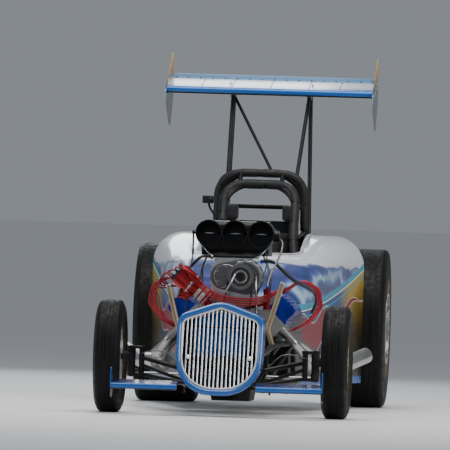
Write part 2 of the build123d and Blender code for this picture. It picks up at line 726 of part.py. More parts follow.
TRIM_W = 11.0
TRIM_T = 9.0
TRIM_SET = ROUND_BACK + 1  # how far the trim lies behind the shell's face
trim_outer = grille_outline(GRILLE_SIDE_RIM + SEAT_GAP, GRILLE_END_RIM + SEAT_GAP, MOUTH_PEAK_R)
trim_inner = grille_outline(GRILLE_SIDE_RIM + TRIM_W, GRILLE_END_RIM + TRIM_W, MOUTH_PEAK_R)
trim = grille_prism(trim_outer, TRIM_SET, TRIM_T) - grille_prism(trim_inner, TRIM_SET - 5, TRIM_T + 10)
bar_prism = grille_prism(
    grille_outline(GRILLE_SIDE_RIM + TRIM_W / 2, GRILLE_END_RIM + TRIM_W / 2, MOUTH_PEAK_R),
    TRIM_SET - 5, TRIM_T + 40)
bars_plane = behind_face(TRIM_SET + TRIM_T / 2 + 1)
BAR_COUNT = 19
bars = []
for i in range(BAR_COUNT):
    across = (i - (BAR_COUNT - 1) / 2) * BAR_PITCH
    start = (bars_plane * Pos(across, 0, 0)).position
    end = (bars_plane * Pos(across, GRILLE_H, 0)).position
    bars.append(rod(start, end, BAR_R) & bar_prism)
# Flat strips that join the bars from behind
STRIP_T = 4.0
cross_bars = []
for up in (GRILLE_H * 0.3, GRILLE_H * 0.72):
    strip = grille_prism(Pos(0, up) * Rectangle(GRILLE_W, 10), TRIM_SET + TRIM_T - 2, STRIP_T)
    cross_bars.append(strip & bar_prism)
BOLT_X = 168.0
bolts = []
for sign in (-1, 1):
    x, y, z = tuple((bars_plane * Pos(sign * BOLT_X, GRILLE_H * 0.4, 0)).position)
    bolts.append(rod((x, y - 9, z), (x, y + 8, z), 8))
grille_bars = welded([trim, *bars, *cross_bars, *bolts])
save("grille_bars", grille_bars)

# Front wings: each a plane with an end plate, on a spar from the grille shell and a stay from the frame

FRONT_WING_ROOT_X = 214.0
FRONT_WING_NOSE_R = 15.0
rise = radians(FRONT_WING_RISE)
lead_y = NOSE_Y + FRONT_WING_NOSE_R * (1 - cos(rise)) + (FRONT_WING_T - FRONT_WING_NOSE_R) * sin(rise)
front_wing_plane = Plane(
    origin=(FRONT_WING_ROOT_X, lead_y, FRONT_WING_LOW), x_dir=(0, cos(rise), sin(rise)), z_dir=(1, 0, 0))


def wing_profile(chord, thickness, tail, nose_r):
    """A flat-bottomed wing section: chord along X, height along Y."""
    face = Sketch() + make_face(Polyline((0, 0), (0, thickness), (chord, tail), (chord, 0), close=True))
    return fillet(face.vertices().sort_by(Axis.X)[:2], nose_r)


wing_root = extrude(
    front_wing_plane * wing_profile(FRONT_WING_CHORD, FRONT_WING_T, FRONT_WING_TAIL_T, FRONT_WING_NOSE_R),
    amount=FRONT_WING_TIP_X - FRONT_WING_ROOT_X)
plate_plane = Plane(origin=(FRONT_WING_TIP_X, NOSE_Y, 0), x_dir=(0, 1, 0), z_dir=(1, 0, 0))
end_plate = extrude(
    plate_plane * fillet(
        (Sketch() + make_face(Polyline(
            (0, 105), (20, 250), (70, 257),
            (FRONT_WING_CHORD + 2, 215), (FRONT_WING_CHORD + 2, 120), (90, 87),
            close=True))).vertices(), 14),
    amount=PLATE_T)
_, spar_y, spar_z = tuple((front_wing_plane * Pos(FRONT_WING_CHORD * 0.8, 8, 0)).position)
spar = rod((FRONT_WING_ROOT_X - 70, spar_y, spar_z), (FRONT_WING_ROOT_X + 20, spar_y, spar_z), 6)
stay = rod((FRONT_WING_ROOT_X + 14, spar_y, spar_z), (NOSE_RAIL_X, aft(-140), LOWER_RAIL_Z), 7)
front_wing_left = (welded([wing_root, end_plate, spar, stay]) - chassis_frame) - shell_body
front_wing_left = sorted(front_wing_left.solids(), key=lambda solid: solid.volume)[-1]
save("front_wings", front_wing_left, mirrored(front_wing_left))

# Engine: block with its oil pan and timing cover

BLOCK_FRONT = PLATE_FRONT
BLOCK_BACK = PLATE_REAR
bank = Vector(sin(radians(45)), cos(radians(45)))
across_bank = Vector(cos(radians(45)), -sin(radians(45)))


def bank_point(along, across):
    """A point of the left bank: along the cylinders from the crank, and across them (outward)."""
    point = bank * along + across_bank * across
    return (point.X, point.Y)


def along_engine(points, front, back):
    """A prism along the car, from rows of (sideways, height over the crank)."""
    plane = Plane(origin=(0, back, CRANK_Z), x_dir=(1, 0, 0), z_dir=(0, -1, 0))
    return extrude(plane * make_face(Polyline(*points, close=True)), amount=back - front)


VALLEY_HALF_W = 58.0
VALLEY_Z = 190.0
PAN_RAIL_Z = -60.0
block_half = [
    (130, PAN_RAIL_Z),
    (168, 40),
    bank_point(BANK_DECK, BANK_HALF_W),
    bank_point(BANK_DECK, -BANK_HALF_W),
    (VALLEY_HALF_W, VALLEY_Z),
]
block_points = block_half + [(-x, z) for x, z in reversed(block_half)]
oil_pan = loft([
    Pos(0, aft(790), CRANK_Z + PAN_RAIL_Z) * RectangleRounded(250, 560, 20),
    Pos(0, aft(800), CRANK_Z - 150) * RectangleRounded(240, 500, 20),
    Pos(0, aft(830), 66) * RectangleRounded(210, 400, 20),
], ruled=True)
oil_pan = oil_pan - slab((-200, aft(380), 0), (200, aft(PLATE_FRONT), 400))
timing_cover = rod((0, aft(PLATE_FRONT - PLATE_THICK - 36), CRANK_Z), (0, aft(BLOCK_FRONT) + 5, CRANK_Z), 58)
engine_block = welded([
    along_engine(block_points, aft(BLOCK_FRONT), aft(BLOCK_BACK)), oil_pan, timing_cover,
]) - chassis_frame
engine_block = sorted(engine_block.solids(), key=lambda solid: solid.volume)[-1]
save("engine_block", engine_block)


def on_bank(low, high, half_width, front, back, corner_r=0.0):
    """A block on the left bank's deck between two distances from the crank."""
    corners = [bank_point(low, half_width), bank_point(high, half_width),
               bank_point(high, -half_width), bank_point(low, -half_width)]
    body = along_engine(corners, front, back)
    if corner_r:
        top = [edge for edge in body.edges().filter_by(Axis.Y)
               if (edge.center().X * bank.X + (edge.center().Z - CRANK_Z) * bank.Y) > high - 1]
        body = fillet(top, corner_r)
    return body


HEAD_INSET = 12.0
head_top = BANK_DECK + HEAD_H
head_front = aft(BLOCK_FRONT + HEAD_INSET)
head_left = on_bank(BANK_DECK, head_top, BANK_HALF_W, head_front, aft(BLOCK_BACK - HEAD_INSET))
PORTS = (572.0, 700.0, 858.0, 986.0)  # exhaust ports, distances behind the front axle
port_spot = bank_point(BANK_DECK + 62, BANK_HALF_W)
PORT_HALF = 26.0
for distance in PORTS:
    x, z = port_spot
    boss = rod((x - 20 * across_bank.X, aft(distance), CRANK_Z + z - 20 * across_bank.Y),
               (x + 12 * across_bank.X, aft(distance), CRANK_Z + z + 12 * across_bank.Y), PORT_HALF + 4)
    head_left = head_left + boss
save("cylinder_heads", head_left, mirrored(head_left))

cover_left = on_bank(head_top, head_top + COVER_H - 14, BANK_HALF_W - 14,
                     aft(BLOCK_FRONT + 24), aft(BLOCK_BACK - 24), 22)
cover_foot = on_bank(head_top, head_top + 12, BANK_HALF_W - 4, aft(BLOCK_FRONT + 18), aft(BLOCK_BACK - 18))
cover_fins = [
    on_bank(head_top + 8, head_top + COVER_H - 6, 5, aft(BLOCK_FRONT + 34), aft(BLOCK_BACK - 34)),
]
for offset_x in (-24, 24):
    fin = on_bank(head_top + 8, head_top + COVER_H - 8, 4, aft(BLOCK_FRONT + 34), aft(BLOCK_BACK - 34))
    cover_fins.append(Pos(across_bank.X * offset_x, 0, across_bank.Y * offset_x) * fin)
cover_left = welded([cover_left, cover_foot, *cover_fins])
save("valve_covers", cover_left, mirrored(cover_left))

# Intake manifold between the heads, up to the blower's base

MANIFOLD_TOP = 325.0
MANIFOLD_HALF_W = 122.0
MANIFOLD_FRONT = 545.0
inner_head = bank_point(BANK_DECK, -BANK_HALF_W)
manifold_half = [
    (VALLEY_HALF_W, VALLEY_Z),
    (inner_head[0], inner_head[1]),
    (inner_head[0] + 34, inner_head[1] + 34),
    (MANIFOLD_HALF_W, 296),
    (MANIFOLD_HALF_W, MANIFOLD_TOP),
]
manifold_points = manifold_half + [(-x, z) for x, z in reversed(manifold_half)]
intake_manifold = along_engine(manifold_points, aft(MANIFOLD_FRONT), aft(1000))
NECK_R = 34.0
NECK_Z = CRANK_Z + 262
intake_manifold = intake_manifold + rod((0, aft(500), NECK_Z), (0, aft(560), NECK_Z), NECK_R)
save("intake_manifold", intake_manifold)

# Blower: ribbed case, front drive, belt, injector hat

BLOWER_FRONT = 580.0
blower_low = CRANK_Z + MANIFOLD_TOP
blower_mid = blower_low + BLOWER_H / 2


def case_slice(face, back, thickness):
    """A slice of the blower's case, this far behind its front."""
    plane = Plane(origin=(0, aft(BLOWER_FRONT + back), blower_mid), x_dir=(1, 0, 0), z_dir=(0, -1, 0))
    return extrude(plane * face, amount=-thickness)


case_core = case_slice(RectangleRounded(BLOWER_W, BLOWER_H, 78), 0, BLOWER_LENGTH)
flange_x = BLOWER_W / 2 - 6
flanges = [
    slab((-flange_x, aft(BLOWER_FRONT), low), (flange_x, aft(BLOWER_FRONT + BLOWER_LENGTH), low + 16))
    for low in (blower_low, blower_low + BLOWER_H - 16)
]
RIB_T = 6.0
RIB_H = 9.0
RIB_COUNT = 9
rib_face = RectangleRounded(BLOWER_W + 2 * RIB_H, BLOWER_H - 4, 80)
ribs = []
for i in range(RIB_COUNT):
    back = 30 + i * (BLOWER_LENGTH - 60 - RIB_T) / (RIB_COUNT - 1)
    ribs.append(case_slice(rib_face, back, RIB_T))
plate_face = RectangleRounded(BLOWER_W + 26, BLOWER_H - 2, 84)
bearing_plates = [case_slice(plate_face, back, 14) for back in (0, BLOWER_LENGTH - 14)]
blower_case = welded([case_core, *flanges, *ribs, *bearing_plates])
save("blower_case", blower_case)

ROTOR_X = 52.0
ROTOR_Z = 750.0
DRIVE_FRONT = 400.0
cover_face = make_hull([
    *(Pos(-ROTOR_X, 0) * Circle(72)).edges(),
    *(Pos(ROTOR_X + 20, 0) * Circle(98)).edges(),
])
drive_plane = Plane(origin=(0, aft(BLOWER_FRONT), ROTOR_Z), x_dir=(1, 0, 0), z_dir=(0, -1, 0))
gear_cover = extrude(drive_plane * cover_face, amount=46)
snout = rod((ROTOR_X, aft(BLOWER_FRONT - 40), ROTOR_Z), (ROTOR_X, aft(DRIVE_FRONT + 12), ROTOR_Z), 34)
CAP_X = -36.0
flat_cap = rod((CAP_X, aft(BLOWER_FRONT - 40), ROTOR_Z), (CAP_X, aft(BLOWER_FRONT - 62), ROTOR_Z), 62)


def toothed_pulley(x, z, radius):
    """A belt pulley with a flange at each side and a hub in front."""
    front = DRIVE_FRONT
    core = rod((x, aft(front), z), (x, aft(front + PULLEY_W), z), radius)
    rims = [
        rod((x, aft(front - 4), z), (x, aft(front), z), radius + 8),
        rod((x, aft(front + PULLEY_W), z), (x, aft(front + PULLEY_W + 4), z), radius + 8),
    ]
    recess = rod((x, aft(front - 10), z), (x, aft(front + 14), z), radius - 12)
    hub = rod((x, aft(front - 8), z), (x, aft(front + 30), z), radius * 0.36)
    return (welded([core, *rims]) - recess) + hub


top_pulley = toothed_pulley(ROTOR_X, ROTOR_Z, TOP_PULLEY_R)
crank_pulley = toothed_pulley(0, CRANK_Z, CRANK_PULLEY_R) - timing_cover
drive_top = welded([gear_cover, snout, flat_cap, top_pulley])
save("blower_drive", drive_top - chassis_frame, crank_pulley - chassis_frame)

belt_plane = Plane(origin=(0, aft(DRIVE_FRONT + 3), 0), x_dir=(1, 0, 0), z_dir=(0, -1, 0))


def belt_loop(extra):
    """The area inside the belt, grown outward."""
    return make_hull([
        *(Pos(ROTOR_X, ROTOR_Z) * Circle(TOP_PULLEY_R + SEAT_GAP + extra)).edges(),
        *(Pos(0, CRANK_Z) * Circle(CRANK_PULLEY_R + SEAT_GAP + extra)).edges(),
    ])


blower_belt = extrude(belt_plane * (belt_loop(BELT_T) - belt_loop(0)), amount=-(PULLEY_W - 6))
save("blower_belt", blower_belt)

# Injector hat: three round mouths over a sloping plenum

HAT_FRONT = 585.0
HAT_BACK = 950.0
hat_low = blower_low + BLOWER_H
HAT_MOUTH_Z = 985.0
hat_bore_out = HAT_BORE_R + HAT_WALL
BORE_DEPTH = 150.0
side_plane = Plane(origin=(-HAT_PITCH - 40, 0, 0), x_dir=(0, 1, 0), z_dir=(1, 0, 0))
plenum = extrude(
    side_plane * make_face(Polyline(
        (aft(HAT_FRONT + 60), hat_low + 14), (aft(HAT_FRONT + 60), HAT_MOUTH_Z + 66),
        (aft(HAT_FRONT + 190), HAT_MOUTH_Z + 70), (aft(HAT_BACK), hat_low + 84),
        (aft(HAT_BACK + 20), hat_low + 14), close=True)),
    amount=2 * (HAT_PITCH + 40))
plenum = fillet(plenum.edges().filter_by(Axis.X).sort_by(Axis.Z)[-3:], 40)
hat_base = loft([
    Pos(0, aft(780), hat_low) * RectangleRounded(230, 380, 24),
    Pos(0, aft(780), hat_low + 12) * RectangleRounded(236, 384, 24),
    Pos(0, aft(780), hat_low + 40) * RectangleRounded(340, 330, 24),
], ruled=True)
horns = []
bores = []
plates = []
throttle_y = aft(HAT_FRONT + 70)
for x in (-HAT_PITCH, 0, HAT_PITCH):
    front = aft(HAT_FRONT)
    horn_back = aft(HAT_FRONT + BORE_DEPTH + 20)
    horns.append(rod((x, front, HAT_MOUTH_Z), (x, horn_back, HAT_MOUTH_Z), hat_bore_out))
    bores.append(rod((x, front - 5, HAT_MOUTH_Z), (x, aft(HAT_FRONT + BORE_DEPTH), HAT_MOUTH_Z), HAT_BORE_R))
    tilt = Plane(origin=(x, throttle_y, HAT_MOUTH_Z), x_dir=(1, 0, 0), z_dir=(0, -1, 0.25))
    plates.append(tilt * Cylinder(HAT_BORE_R + 1, 4))
    shaft_reach = HAT_BORE_R + 2
    plates.append(rod((x - shaft_reach, throttle_y, HAT_MOUTH_Z), (x + shaft_reach, throttle_y, HAT_MOUTH_Z), 6))
injector_hat = welded([plenum, hat_base, *horns])
for bore in bores:
    injector_hat = injector_hat - bore
linkage = welded([
    rod((-HAT_PITCH - 60, throttle_y, HAT_MOUTH_Z), (-HAT_PITCH - 95, throttle_y, HAT_MOUTH_Z), 8),
    rod((-HAT_PITCH - 88, throttle_y, HAT_MOUTH_Z + 12), (-HAT_PITCH - 88, throttle_y, 860), 5),
    rod((HAT_PITCH + 60, throttle_y, HAT_MOUTH_Z - 10), (HAT_PITCH + 100, throttle_y, HAT_MOUTH_Z - 10), 30),
])
injector_hat = welded([injector_hat, *plates, linkage])
save("injector_hat", injector_hat)

# Magneto on the car's right front of the engine, with its cap and the coil beside it

MAG_Y = aft(455)
mag_foot = (-122, MAG_Y, 618)
mag_neck = (-205, MAG_Y, 688)
mag_top = (-288, MAG_Y, 758)
MAG_DRIVE_X = -140.0
magneto = welded([
    rod((MAG_DRIVE_X, MAG_Y, CRANK_Z + 120), mag_foot, 20),
    rod((MAG_DRIVE_X, MAG_Y, CRANK_Z + 130), (MAG_DRIVE_X, aft(BLOCK_FRONT), CRANK_Z + 130), 24),
    rod(mag_foot, mag_neck, 44),
    rod(mag_neck, mag_top, 62),
    rod((-222, MAG_Y, 640), (-285, MAG_Y, 655), 32),
    rod((-160, MAG_Y, 640), (-230, MAG_Y, 645), 12),
])
save("magneto", magneto - engine_block)

# Breather tubes from the valve covers' front, leaning outward

foot_x, BREATHER_Y, foot_z = on_rail(UPPER_RAIL, 372)
BREATHER_R = 14.0
breather_rows = [
    (60, [(foot_x, BREATHER_Y, foot_z), (210, BREATHER_Y, 470), (286, BREATHER_Y, 724)]),
    (90, [(-foot_x, BREATHER_Y, foot_z), (-290, BREATHER_Y, 500), (-340, BREATHER_Y, 696)]),
]
breathers = [bent_rod(points, bend, BREATHER_R) for bend, points in breather_rows]
coped_breathers = [
    sorted((tube - chassis_frame).solids(), key=lambda solid: solid.volume)[-1] for tube in breathers
]
save("breather_tubes", *coped_breathers)

# Fuel filter can in front of the engine, on the car's left

FILTER_X = 196.0
FILTER_Y = aft(455)
FILTER_LOW = 575.0
FILTER_TOP = 688.0
STUD_R = 5.0  # the stud that carries it on the front of the head
stud_z = FILTER_LOW + STUD_R + 3
FILTER_R = 19.0
can_side = [
    (0, FILTER_LOW), (FILTER_R, FILTER_LOW), (FILTER_R, FILTER_TOP - 16), (FILTER_R + 3, FILTER_TOP - 16),
    (FILTER_R + 3, FILTER_TOP - 4), (FILTER_R, FILTER_TOP - 4), (FILTER_R, FILTER_TOP), (0, FILTER_TOP),
]
filter_can = revolve(Plane.XZ * make_face(Polyline(*can_side, close=True)), axis=Axis.Z)
fuel_filter = welded([
    Pos(FILTER_X, FILTER_Y, 0) * filter_can,
    rod((FILTER_X, FILTER_Y, stud_z), (FILTER_X, head_front - SEAT_GAP, stud_z), STUD_R),
    rod((FILTER_X, FILTER_Y, FILTER_LOW + 34), (NECK_R - 10, aft(522), NECK_Z), 8),
]) - intake_manifold
fuel_filter = sorted(fuel_filter.solids(), key=lambda solid: solid.volume)[-1]
save("fuel_filter", fuel_filter)

# Headers: four primaries a side into a collector that turns outward ahead of the rear wheels

PRIMARY_R = 24.0
COLLECTOR_R = 44.0
COLLECTOR_WALL = 2.5
collector_start = (430, aft(1215), 262)
collector_turn = (560, aft(1470), 262)
collector_end = (682, aft(1690), 322)
port_x = port_spot[0] + 12 * across_bank.X
port_z = CRANK_Z + port_spot[1] + 12 * across_bank.Y
primaries = []
# Where each primary enters the collector: sideways and upward from its axis
entries = ((-20, 22), (-20, -22), (22, 22), (22, -22))
for distance, (side_step, up_step) in zip(PORTS, entries):
    reach = 60 + (1100 - distance) * 0.06
    start = (port_x, aft(distance), port_z)
    knee = (port_x + reach * 0.75, aft(distance), port_z - reach * 0.75)
    bottom = (collector_start[0] + side_step, aft(distance + 150), collector_start[2] + up_step + 30)
    finish = (collector_start[0] + side_step, collector_start[1], collector_start[2] + up_step)
    primaries.append(bent_rod([start, knee, bottom, finish], 30, PRIMARY_R))
    primaries.append(rod(start, (start[0] + 7, start[1], start[2] - 7), PRIMARY_R + 8))
merge_front = (collector_start[0], collector_start[1] - 40, collector_start[2])
merge = rod(merge_front, collector_start, COLLECTOR_R + 15)
collector = bent_rod([collector_start, collector_turn, collector_end], 160, COLLECTOR_R)
collector_way = Vector(*collector_end) - Vector(*collector_turn)
mouth_start = Vector(*collector_end) - collector_way.normalized() * 120
mouth_end = Vector(*collector_end) + collector_way.normalized() * 10
header_left = welded([*primaries, merge, collector]) - rod(
    tuple(mouth_start), tuple(mouth_end), COLLECTOR_R - COLLECTOR_WALL)
header_left = header_left - head_left
header_left = sorted(header_left.solids(), key=lambda solid: solid.volume)[-1]
save("headers", header_left, mirrored(header_left))

# Plug wires: loops over each valve cover down to the plugs between the primaries

WIRE_R = 4.0
WIRE_BEND = 52.0
plug_spot = bank_point(BANK_DECK + 59, BANK_HALF_W)
boot_out = 26.0
wires = []
for distance in (636.0, 779.0, 922.0, 1036.0):
    y = aft(distance)
    boot_x = plug_spot[0] + boot_out * across_bank.X
    boot_z = CRANK_Z + plug_spot[1] + boot_out * across_bank.Y
    route = [
        (272, y, 678),
        (366, y + 4, 742),
        (450, y + 12, 690),
        (468, y + 14, 590),
        (404, y + 8, 506),
        (boot_x, y, boot_z),
    ]
    near_x = plug_spot[0] + SEAT_GAP
    boot = rod((near_x, y, CRANK_Z + plug_spot[1] - SEAT_GAP), (boot_x, y, boot_z), 8)
    loom = rod((255, y, 666), (284, y, 686), 8)
    wires.append(welded([bent_rod(route, WIRE_BEND, WIRE_R), boot, loom]))
save("plug_wires", *both(wires))

# Fuel tank between the grille and the engine

TANK_R = 105.0
TANK_HALF = 165.0
tank_y = aft(235)
TANK_Z = 400.0
fuel_tank = turned([
    (-TANK_HALF, 0), (TANK_HALF, 0), (TANK_HALF, TANK_R - 30), (TANK_HALF - 30, TANK_R),
    (-TANK_HALF + 30, TANK_R), (-TANK_HALF, TANK_R - 30)])
fuel_tank = Pos(0, tank_y, TANK_Z) * fuel_tank
tank_legs = both([slab((100, tank_y - 6, LOWER_RAIL_Z), (130, tank_y + 6, TANK_Z - 80))])
tank_bar = rod((-lower_x(235), tank_y, LOWER_RAIL_Z), (lower_x(235), tank_y, LOWER_RAIL_Z), 11)
fuel_tank = welded([
    fuel_tank, *tank_legs, tank_bar, rod((0, tank_y, TANK_Z + 95), (0, tank_y, TANK_Z + 128), 36),
]) - chassis_frame - steering_shaft
fuel_tank = sorted(fuel_tank.solids(), key=lambda solid: solid.volume)[-1]
save("fuel_tank", fuel_tank)

# Transmission: bellhousing, gearbox and the coupler to the rear axle

BOX_BACK = 1800.0
transmission = welded([
    rod((0, aft(PLATE_REAR + PLATE_THICK), CRANK_Z), (0, aft(PLATE_REAR + PLATE_THICK + 30), CRANK_Z), 165),
    Plane(origin=(0, aft(PLATE_REAR + PLATE_THICK + 30), CRANK_Z), z_dir=(0, 1, 0)) * Cone(
        160, 120, 150, align=(Align.CENTER, Align.CENTER, Align.MIN)),
    slab((-95, aft(1230), CRANK_Z - 110), (95, aft(1560), CRANK_Z + 95)),
    rod((0, aft(1540), CRANK_Z), (0, aft(BOX_BACK), CRANK_Z), 72),
]) - chassis_frame

# Rear axle: centre casing, tubes with end bearings, arms to the frame and brake calipers

REAR_X = REAR_TRACK / 2
DISC_X = REAR_X - REAR_DISC_INSET  # inboard face of the wheel's centre
FLANGE_T = 14.0
BRAKE_T = 10.0
brake_x = DISC_X - FLANGE_T - 30
tube_end = brake_x - BRAKE_T / 2 - FREE
axle_centre = (0, REAR_AXLE_Y, SLICK_R)
PINION_Z = SLICK_R - 38
PINION_FACE_Y = REAR_AXLE_Y - 215
BEARING_L = 30.0
bearing_r = AXLE_SHAFT_R + RUN
way_r = AXLE_SHAFT_R + FREE
bearing_in = tube_end - BEARING_L
axle_half = [
    (bearing_in, way_r),
    (bearing_in, bearing_r),
    (tube_end, bearing_r),
    (tube_end, AXLE_TUBE_R + 8),
    (bearing_in, AXLE_TUBE_R + 8),
    (bearing_in, AXLE_TUBE_R),
    (205, AXLE_TUBE_R),
    (125, 88),
    (98, 128),
    (55, 150),
]
casing = Pos(*axle_centre) * turned(axle_half + [(-across, r) for across, r in reversed(axle_half)])
pinion_nose = welded([
    rod((0, REAR_AXLE_Y - 190, PINION_Z), (0, REAR_AXLE_Y - 60, PINION_Z), 75),
    rod((0, PINION_FACE_Y, PINION_Z), (0, REAR_AXLE_Y - 185, PINION_Z), 52),
    rod((0, REAR_AXLE_Y + 60, SLICK_R), (0, REAR_AXLE_Y + 165, SLICK_R), 95),
])
# Posts that hang the axle tubes from the upper rails
tube_core = rod((-tube_end, REAR_AXLE_Y, SLICK_R), (tube_end, REAR_AXLE_Y, SLICK_R), AXLE_TUBE_R - 8)
axle_posts = both([
    slab((CABIN_RAIL_X - 36, REAR_AXLE_Y - 46, 380), (CABIN_RAIL_X - 22, REAR_AXLE_Y + 46, UPPER_TAIL_Z - 4))
    - tube_core,
])
calipers = both([
    slab((brake_x - 34, REAR_AXLE_Y - 155, SLICK_R - 50), (brake_x + 26, REAR_AXLE_Y - 92, SLICK_R + 50))
    - rod((brake_x - BRAKE_T / 2 - FREE, REAR_AXLE_Y, SLICK_R),
          (brake_x + BRAKE_T / 2 + FREE, REAR_AXLE_Y, SLICK_R), BRAKE_DISC_R + FREE),
])
caliper_arms = both([
    slab((brake_x - 34, REAR_AXLE_Y - 120, SLICK_R - 18), (brake_x - 20, REAR_AXLE_Y - 38, SLICK_R + 18)),
])
rear_housing = welded([casing, pinion_nose, *axle_posts, *calipers, *caliper_arms])
rear_housing = rear_housing - chassis_frame
rear_housing = sorted(rear_housing.solids(), key=lambda solid: solid.volume)[-1]
save("rear_axle_housing", rear_housing)

coupler = rod((0, aft(BOX_BACK), CRANK_Z), (0, PINION_FACE_Y, PINION_Z), 46)
coupler = coupler - rear_housing - chassis_frame
transmission = welded([transmission, coupler])
save("transmission", transmission)

# The turning rear axle: shaft with flanges and brake discs, wide rims and slicks

shaft_half = REAR_X + 60
rear_shaft = welded([
    rod((-shaft_half, REAR_AXLE_Y, SLICK_R), (shaft_half, REAR_AXLE_Y, SLICK_R), AXLE_SHAFT_R),
    *both([
        rod((DISC_X - FLANGE_T, REAR_AXLE_Y, SLICK_R), (DISC_X, REAR_AXLE_Y, SLICK_R), 80),
        rod((brake_x - BRAKE_T / 2, REAR_AXLE_Y, SLICK_R),
            (brake_x + BRAKE_T / 2, REAR_AXLE_Y, SLICK_R), BRAKE_DISC_R),
        rod((brake_x, REAR_AXLE_Y, SLICK_R), (DISC_X, REAR_AXLE_Y, SLICK_R), 55),
    ]),
])
save("rear_axle_shaft", rear_shaft)

at_rear_wheel = Pos(REAR_X, REAR_AXLE_Y, SLICK_R)
wheel_nose = turned([
    (-REAR_DISC_INSET, AXLE_SHAFT_R + SEAT_GAP), (64, AXLE_SHAFT_R + SEAT_GAP), (64, 0), (72, 0), (72, 36),
    (60, 44), (-REAR_DISC_INSET + 40, 56), (-REAR_DISC_INSET, 62)])
rear_rim = at_rear_wheel * welded([
    barrel(REAR_RIM_W),
    spoked_disc(-REAR_DISC_INSET, 14, 70, 44, 5) - rod((-80, 0, 0), (20, 0, 0), 60),
    wheel_nose,
])
save("rear_rims", rear_rim, mirrored(rear_rim))
slick_bead_w = REAR_RIM_W - 2 * (RIM_WALL + 2) - 2 * SEAT_GAP
slick = at_rear_wheel * tyre(SLICK_R, SLICK_W, SLICK_TREAD_W, slick_bead_w, 34, 60)
save("slick_left", slick)
save("slick_right", mirrored(slick))

# Rear wing: a cambered plane nose down, a slat at its trailing edge, and diamond end plates

wing_plane = Plane(
    origin=(-WING_SPAN / 2, WING_Y - WING_CHORD / 2 * cos(radians(WING_DROP)), WING_Z + 4),
    x_dir=(0, cos(radians(WING_DROP)), sin(radians(WING_DROP))),
    z_dir=(1, 0, 0),
)
main_wing = extrude(wing_plane * wing_profile(WING_CHORD, WING_T, 7, 19), amount=WING_SPAN)
PLATE_BACK = 280.0
PLATE_TOP = 2022.0
PLATE_LOW = 1600.0
end_outline = (
    (-PLATE_BACK, WING_Z + 25), (190, PLATE_TOP), (PLATE_BACK, PLATE_TOP), (PLATE_BACK, WING_Z),
    (120, PLATE_LOW), (50, PLATE_LOW), (-PLATE_BACK, WING_Z - 30),
)
end_face = fillet((Sketch() + make_face(Polyline(*end_outline, close=True))).vertices(), 18)
end_plane = Plane(origin=(WING_SPAN / 2, WING_Y, 0), x_dir=(0, 1, 0), z_dir=(1, 0, 0))
end_plates = both([
    extrude(end_plane * end_face, amount=PLATE_T),
])


def wing_underside(behind):
    """Height of the wing's underside this far behind its middle."""
    return WING_Z + 4 + (WING_CHORD / 2 * cos(radians(WING_DROP)) + behind) * tan(radians(WING_DROP))


wing_lugs = both([
    slab((STRUT_TOP_X - 14, WING_Y + y - 22, wing_underside(y) - 42),
         (STRUT_TOP_X + 14, WING_Y + y + 22, wing_underside(y) + 8))
    for y in (-70, 60)
])
rear_wing = welded([main_wing, *end_plates, *wing_lugs])
save("rear_wing", rear_wing)

# Wing struts: front pair to the hoop, rear pair to the frame's tail, one diagonal

STRUT_R = 12.0
front_top = (STRUT_TOP_X, WING_Y - 70, wing_underside(-70) - 20)
struts = [
    *both([
        rod(front_top, (196, aft(2720), MAIN_HOOP_Z - 40), STRUT_R),
        rod((STRUT_TOP_X, WING_Y + 60, wing_underside(60) - 20), STRUT_FOOT, STRUT_R),
    ]),
    rod((-STRUT_TOP_X + 6, WING_Y - 70, wing_underside(-70) - 30), (62, aft(2720), MAIN_HOOP_Z), STRUT_R - 3),
]
strut_solids = []
for strut in struts:
    trimmed = strut - rear_wing - roll_cage - chassis_frame
    strut_solids.append(sorted(trimmed.solids(), key=lambda solid: solid.volume)[-1])
strut_pair = Part() + strut_solids
save("wing_struts", strut_pair)

# Seat: a bucket with side wings, its pads, and the pads on the cage

SEAT_HALF_W = 204.0
SEAT_WALL = 5.0
SEAT_TOP = 1080.0
SEAT_LEAN = 0.132  # how far the back leans for each unit of height
back_at_bar = aft(2720) - BRACE_R - SEAT_GAP


def seat_back(z):
    """Y of the seat's back face at a height."""
    return back_at_bar + (z - CAGE_BAR_Z) * SEAT_LEAN


seat_side = Sketch() + make_face(Polyline(
    (aft(2180), SEAT_LOW), (seat_back(SEAT_LOW), SEAT_LOW), (seat_back(SEAT_TOP), SEAT_TOP),
    (seat_back(SEAT_TOP) - 140, SEAT_TOP), (aft(2490), 760), (aft(2200), 610), close=True))
seat_side = fillet(seat_side.vertices(), 34)
seat_plane = Plane(origin=(-SEAT_HALF_W, 0, 0), x_dir=(0, 1, 0), z_dir=(1, 0, 0))
seat_block = extrude(seat_plane * seat_side, amount=2 * SEAT_HALF_W)
seat_hollow = Sketch() + make_face(Polyline(
    (aft(2100), SEAT_LOW + SEAT_WALL), (seat_back(SEAT_LOW + SEAT_WALL) - SEAT_WALL, SEAT_LOW + SEAT_WALL),
    (seat_back(1120) - SEAT_WALL, 1120), (aft(2300), 1120), (aft(2100), 700), close=True))
seat_hollow = fillet(seat_hollow.vertices().sort_by(Axis.Y)[:2], 30)
hollow_plane = Plane(origin=(-SEAT_HALF_W + SEAT_WALL, 0, 0), x_dir=(0, 1, 0), z_dir=(1, 0, 0))
seat = seat_block - extrude(hollow_plane * seat_hollow, amount=2 * (SEAT_HALF_W - SEAT_WALL))
seat = sorted(seat.solids(), key=lambda solid: solid.volume)[-1]
save("seat", seat)

# Seat pads: base and back

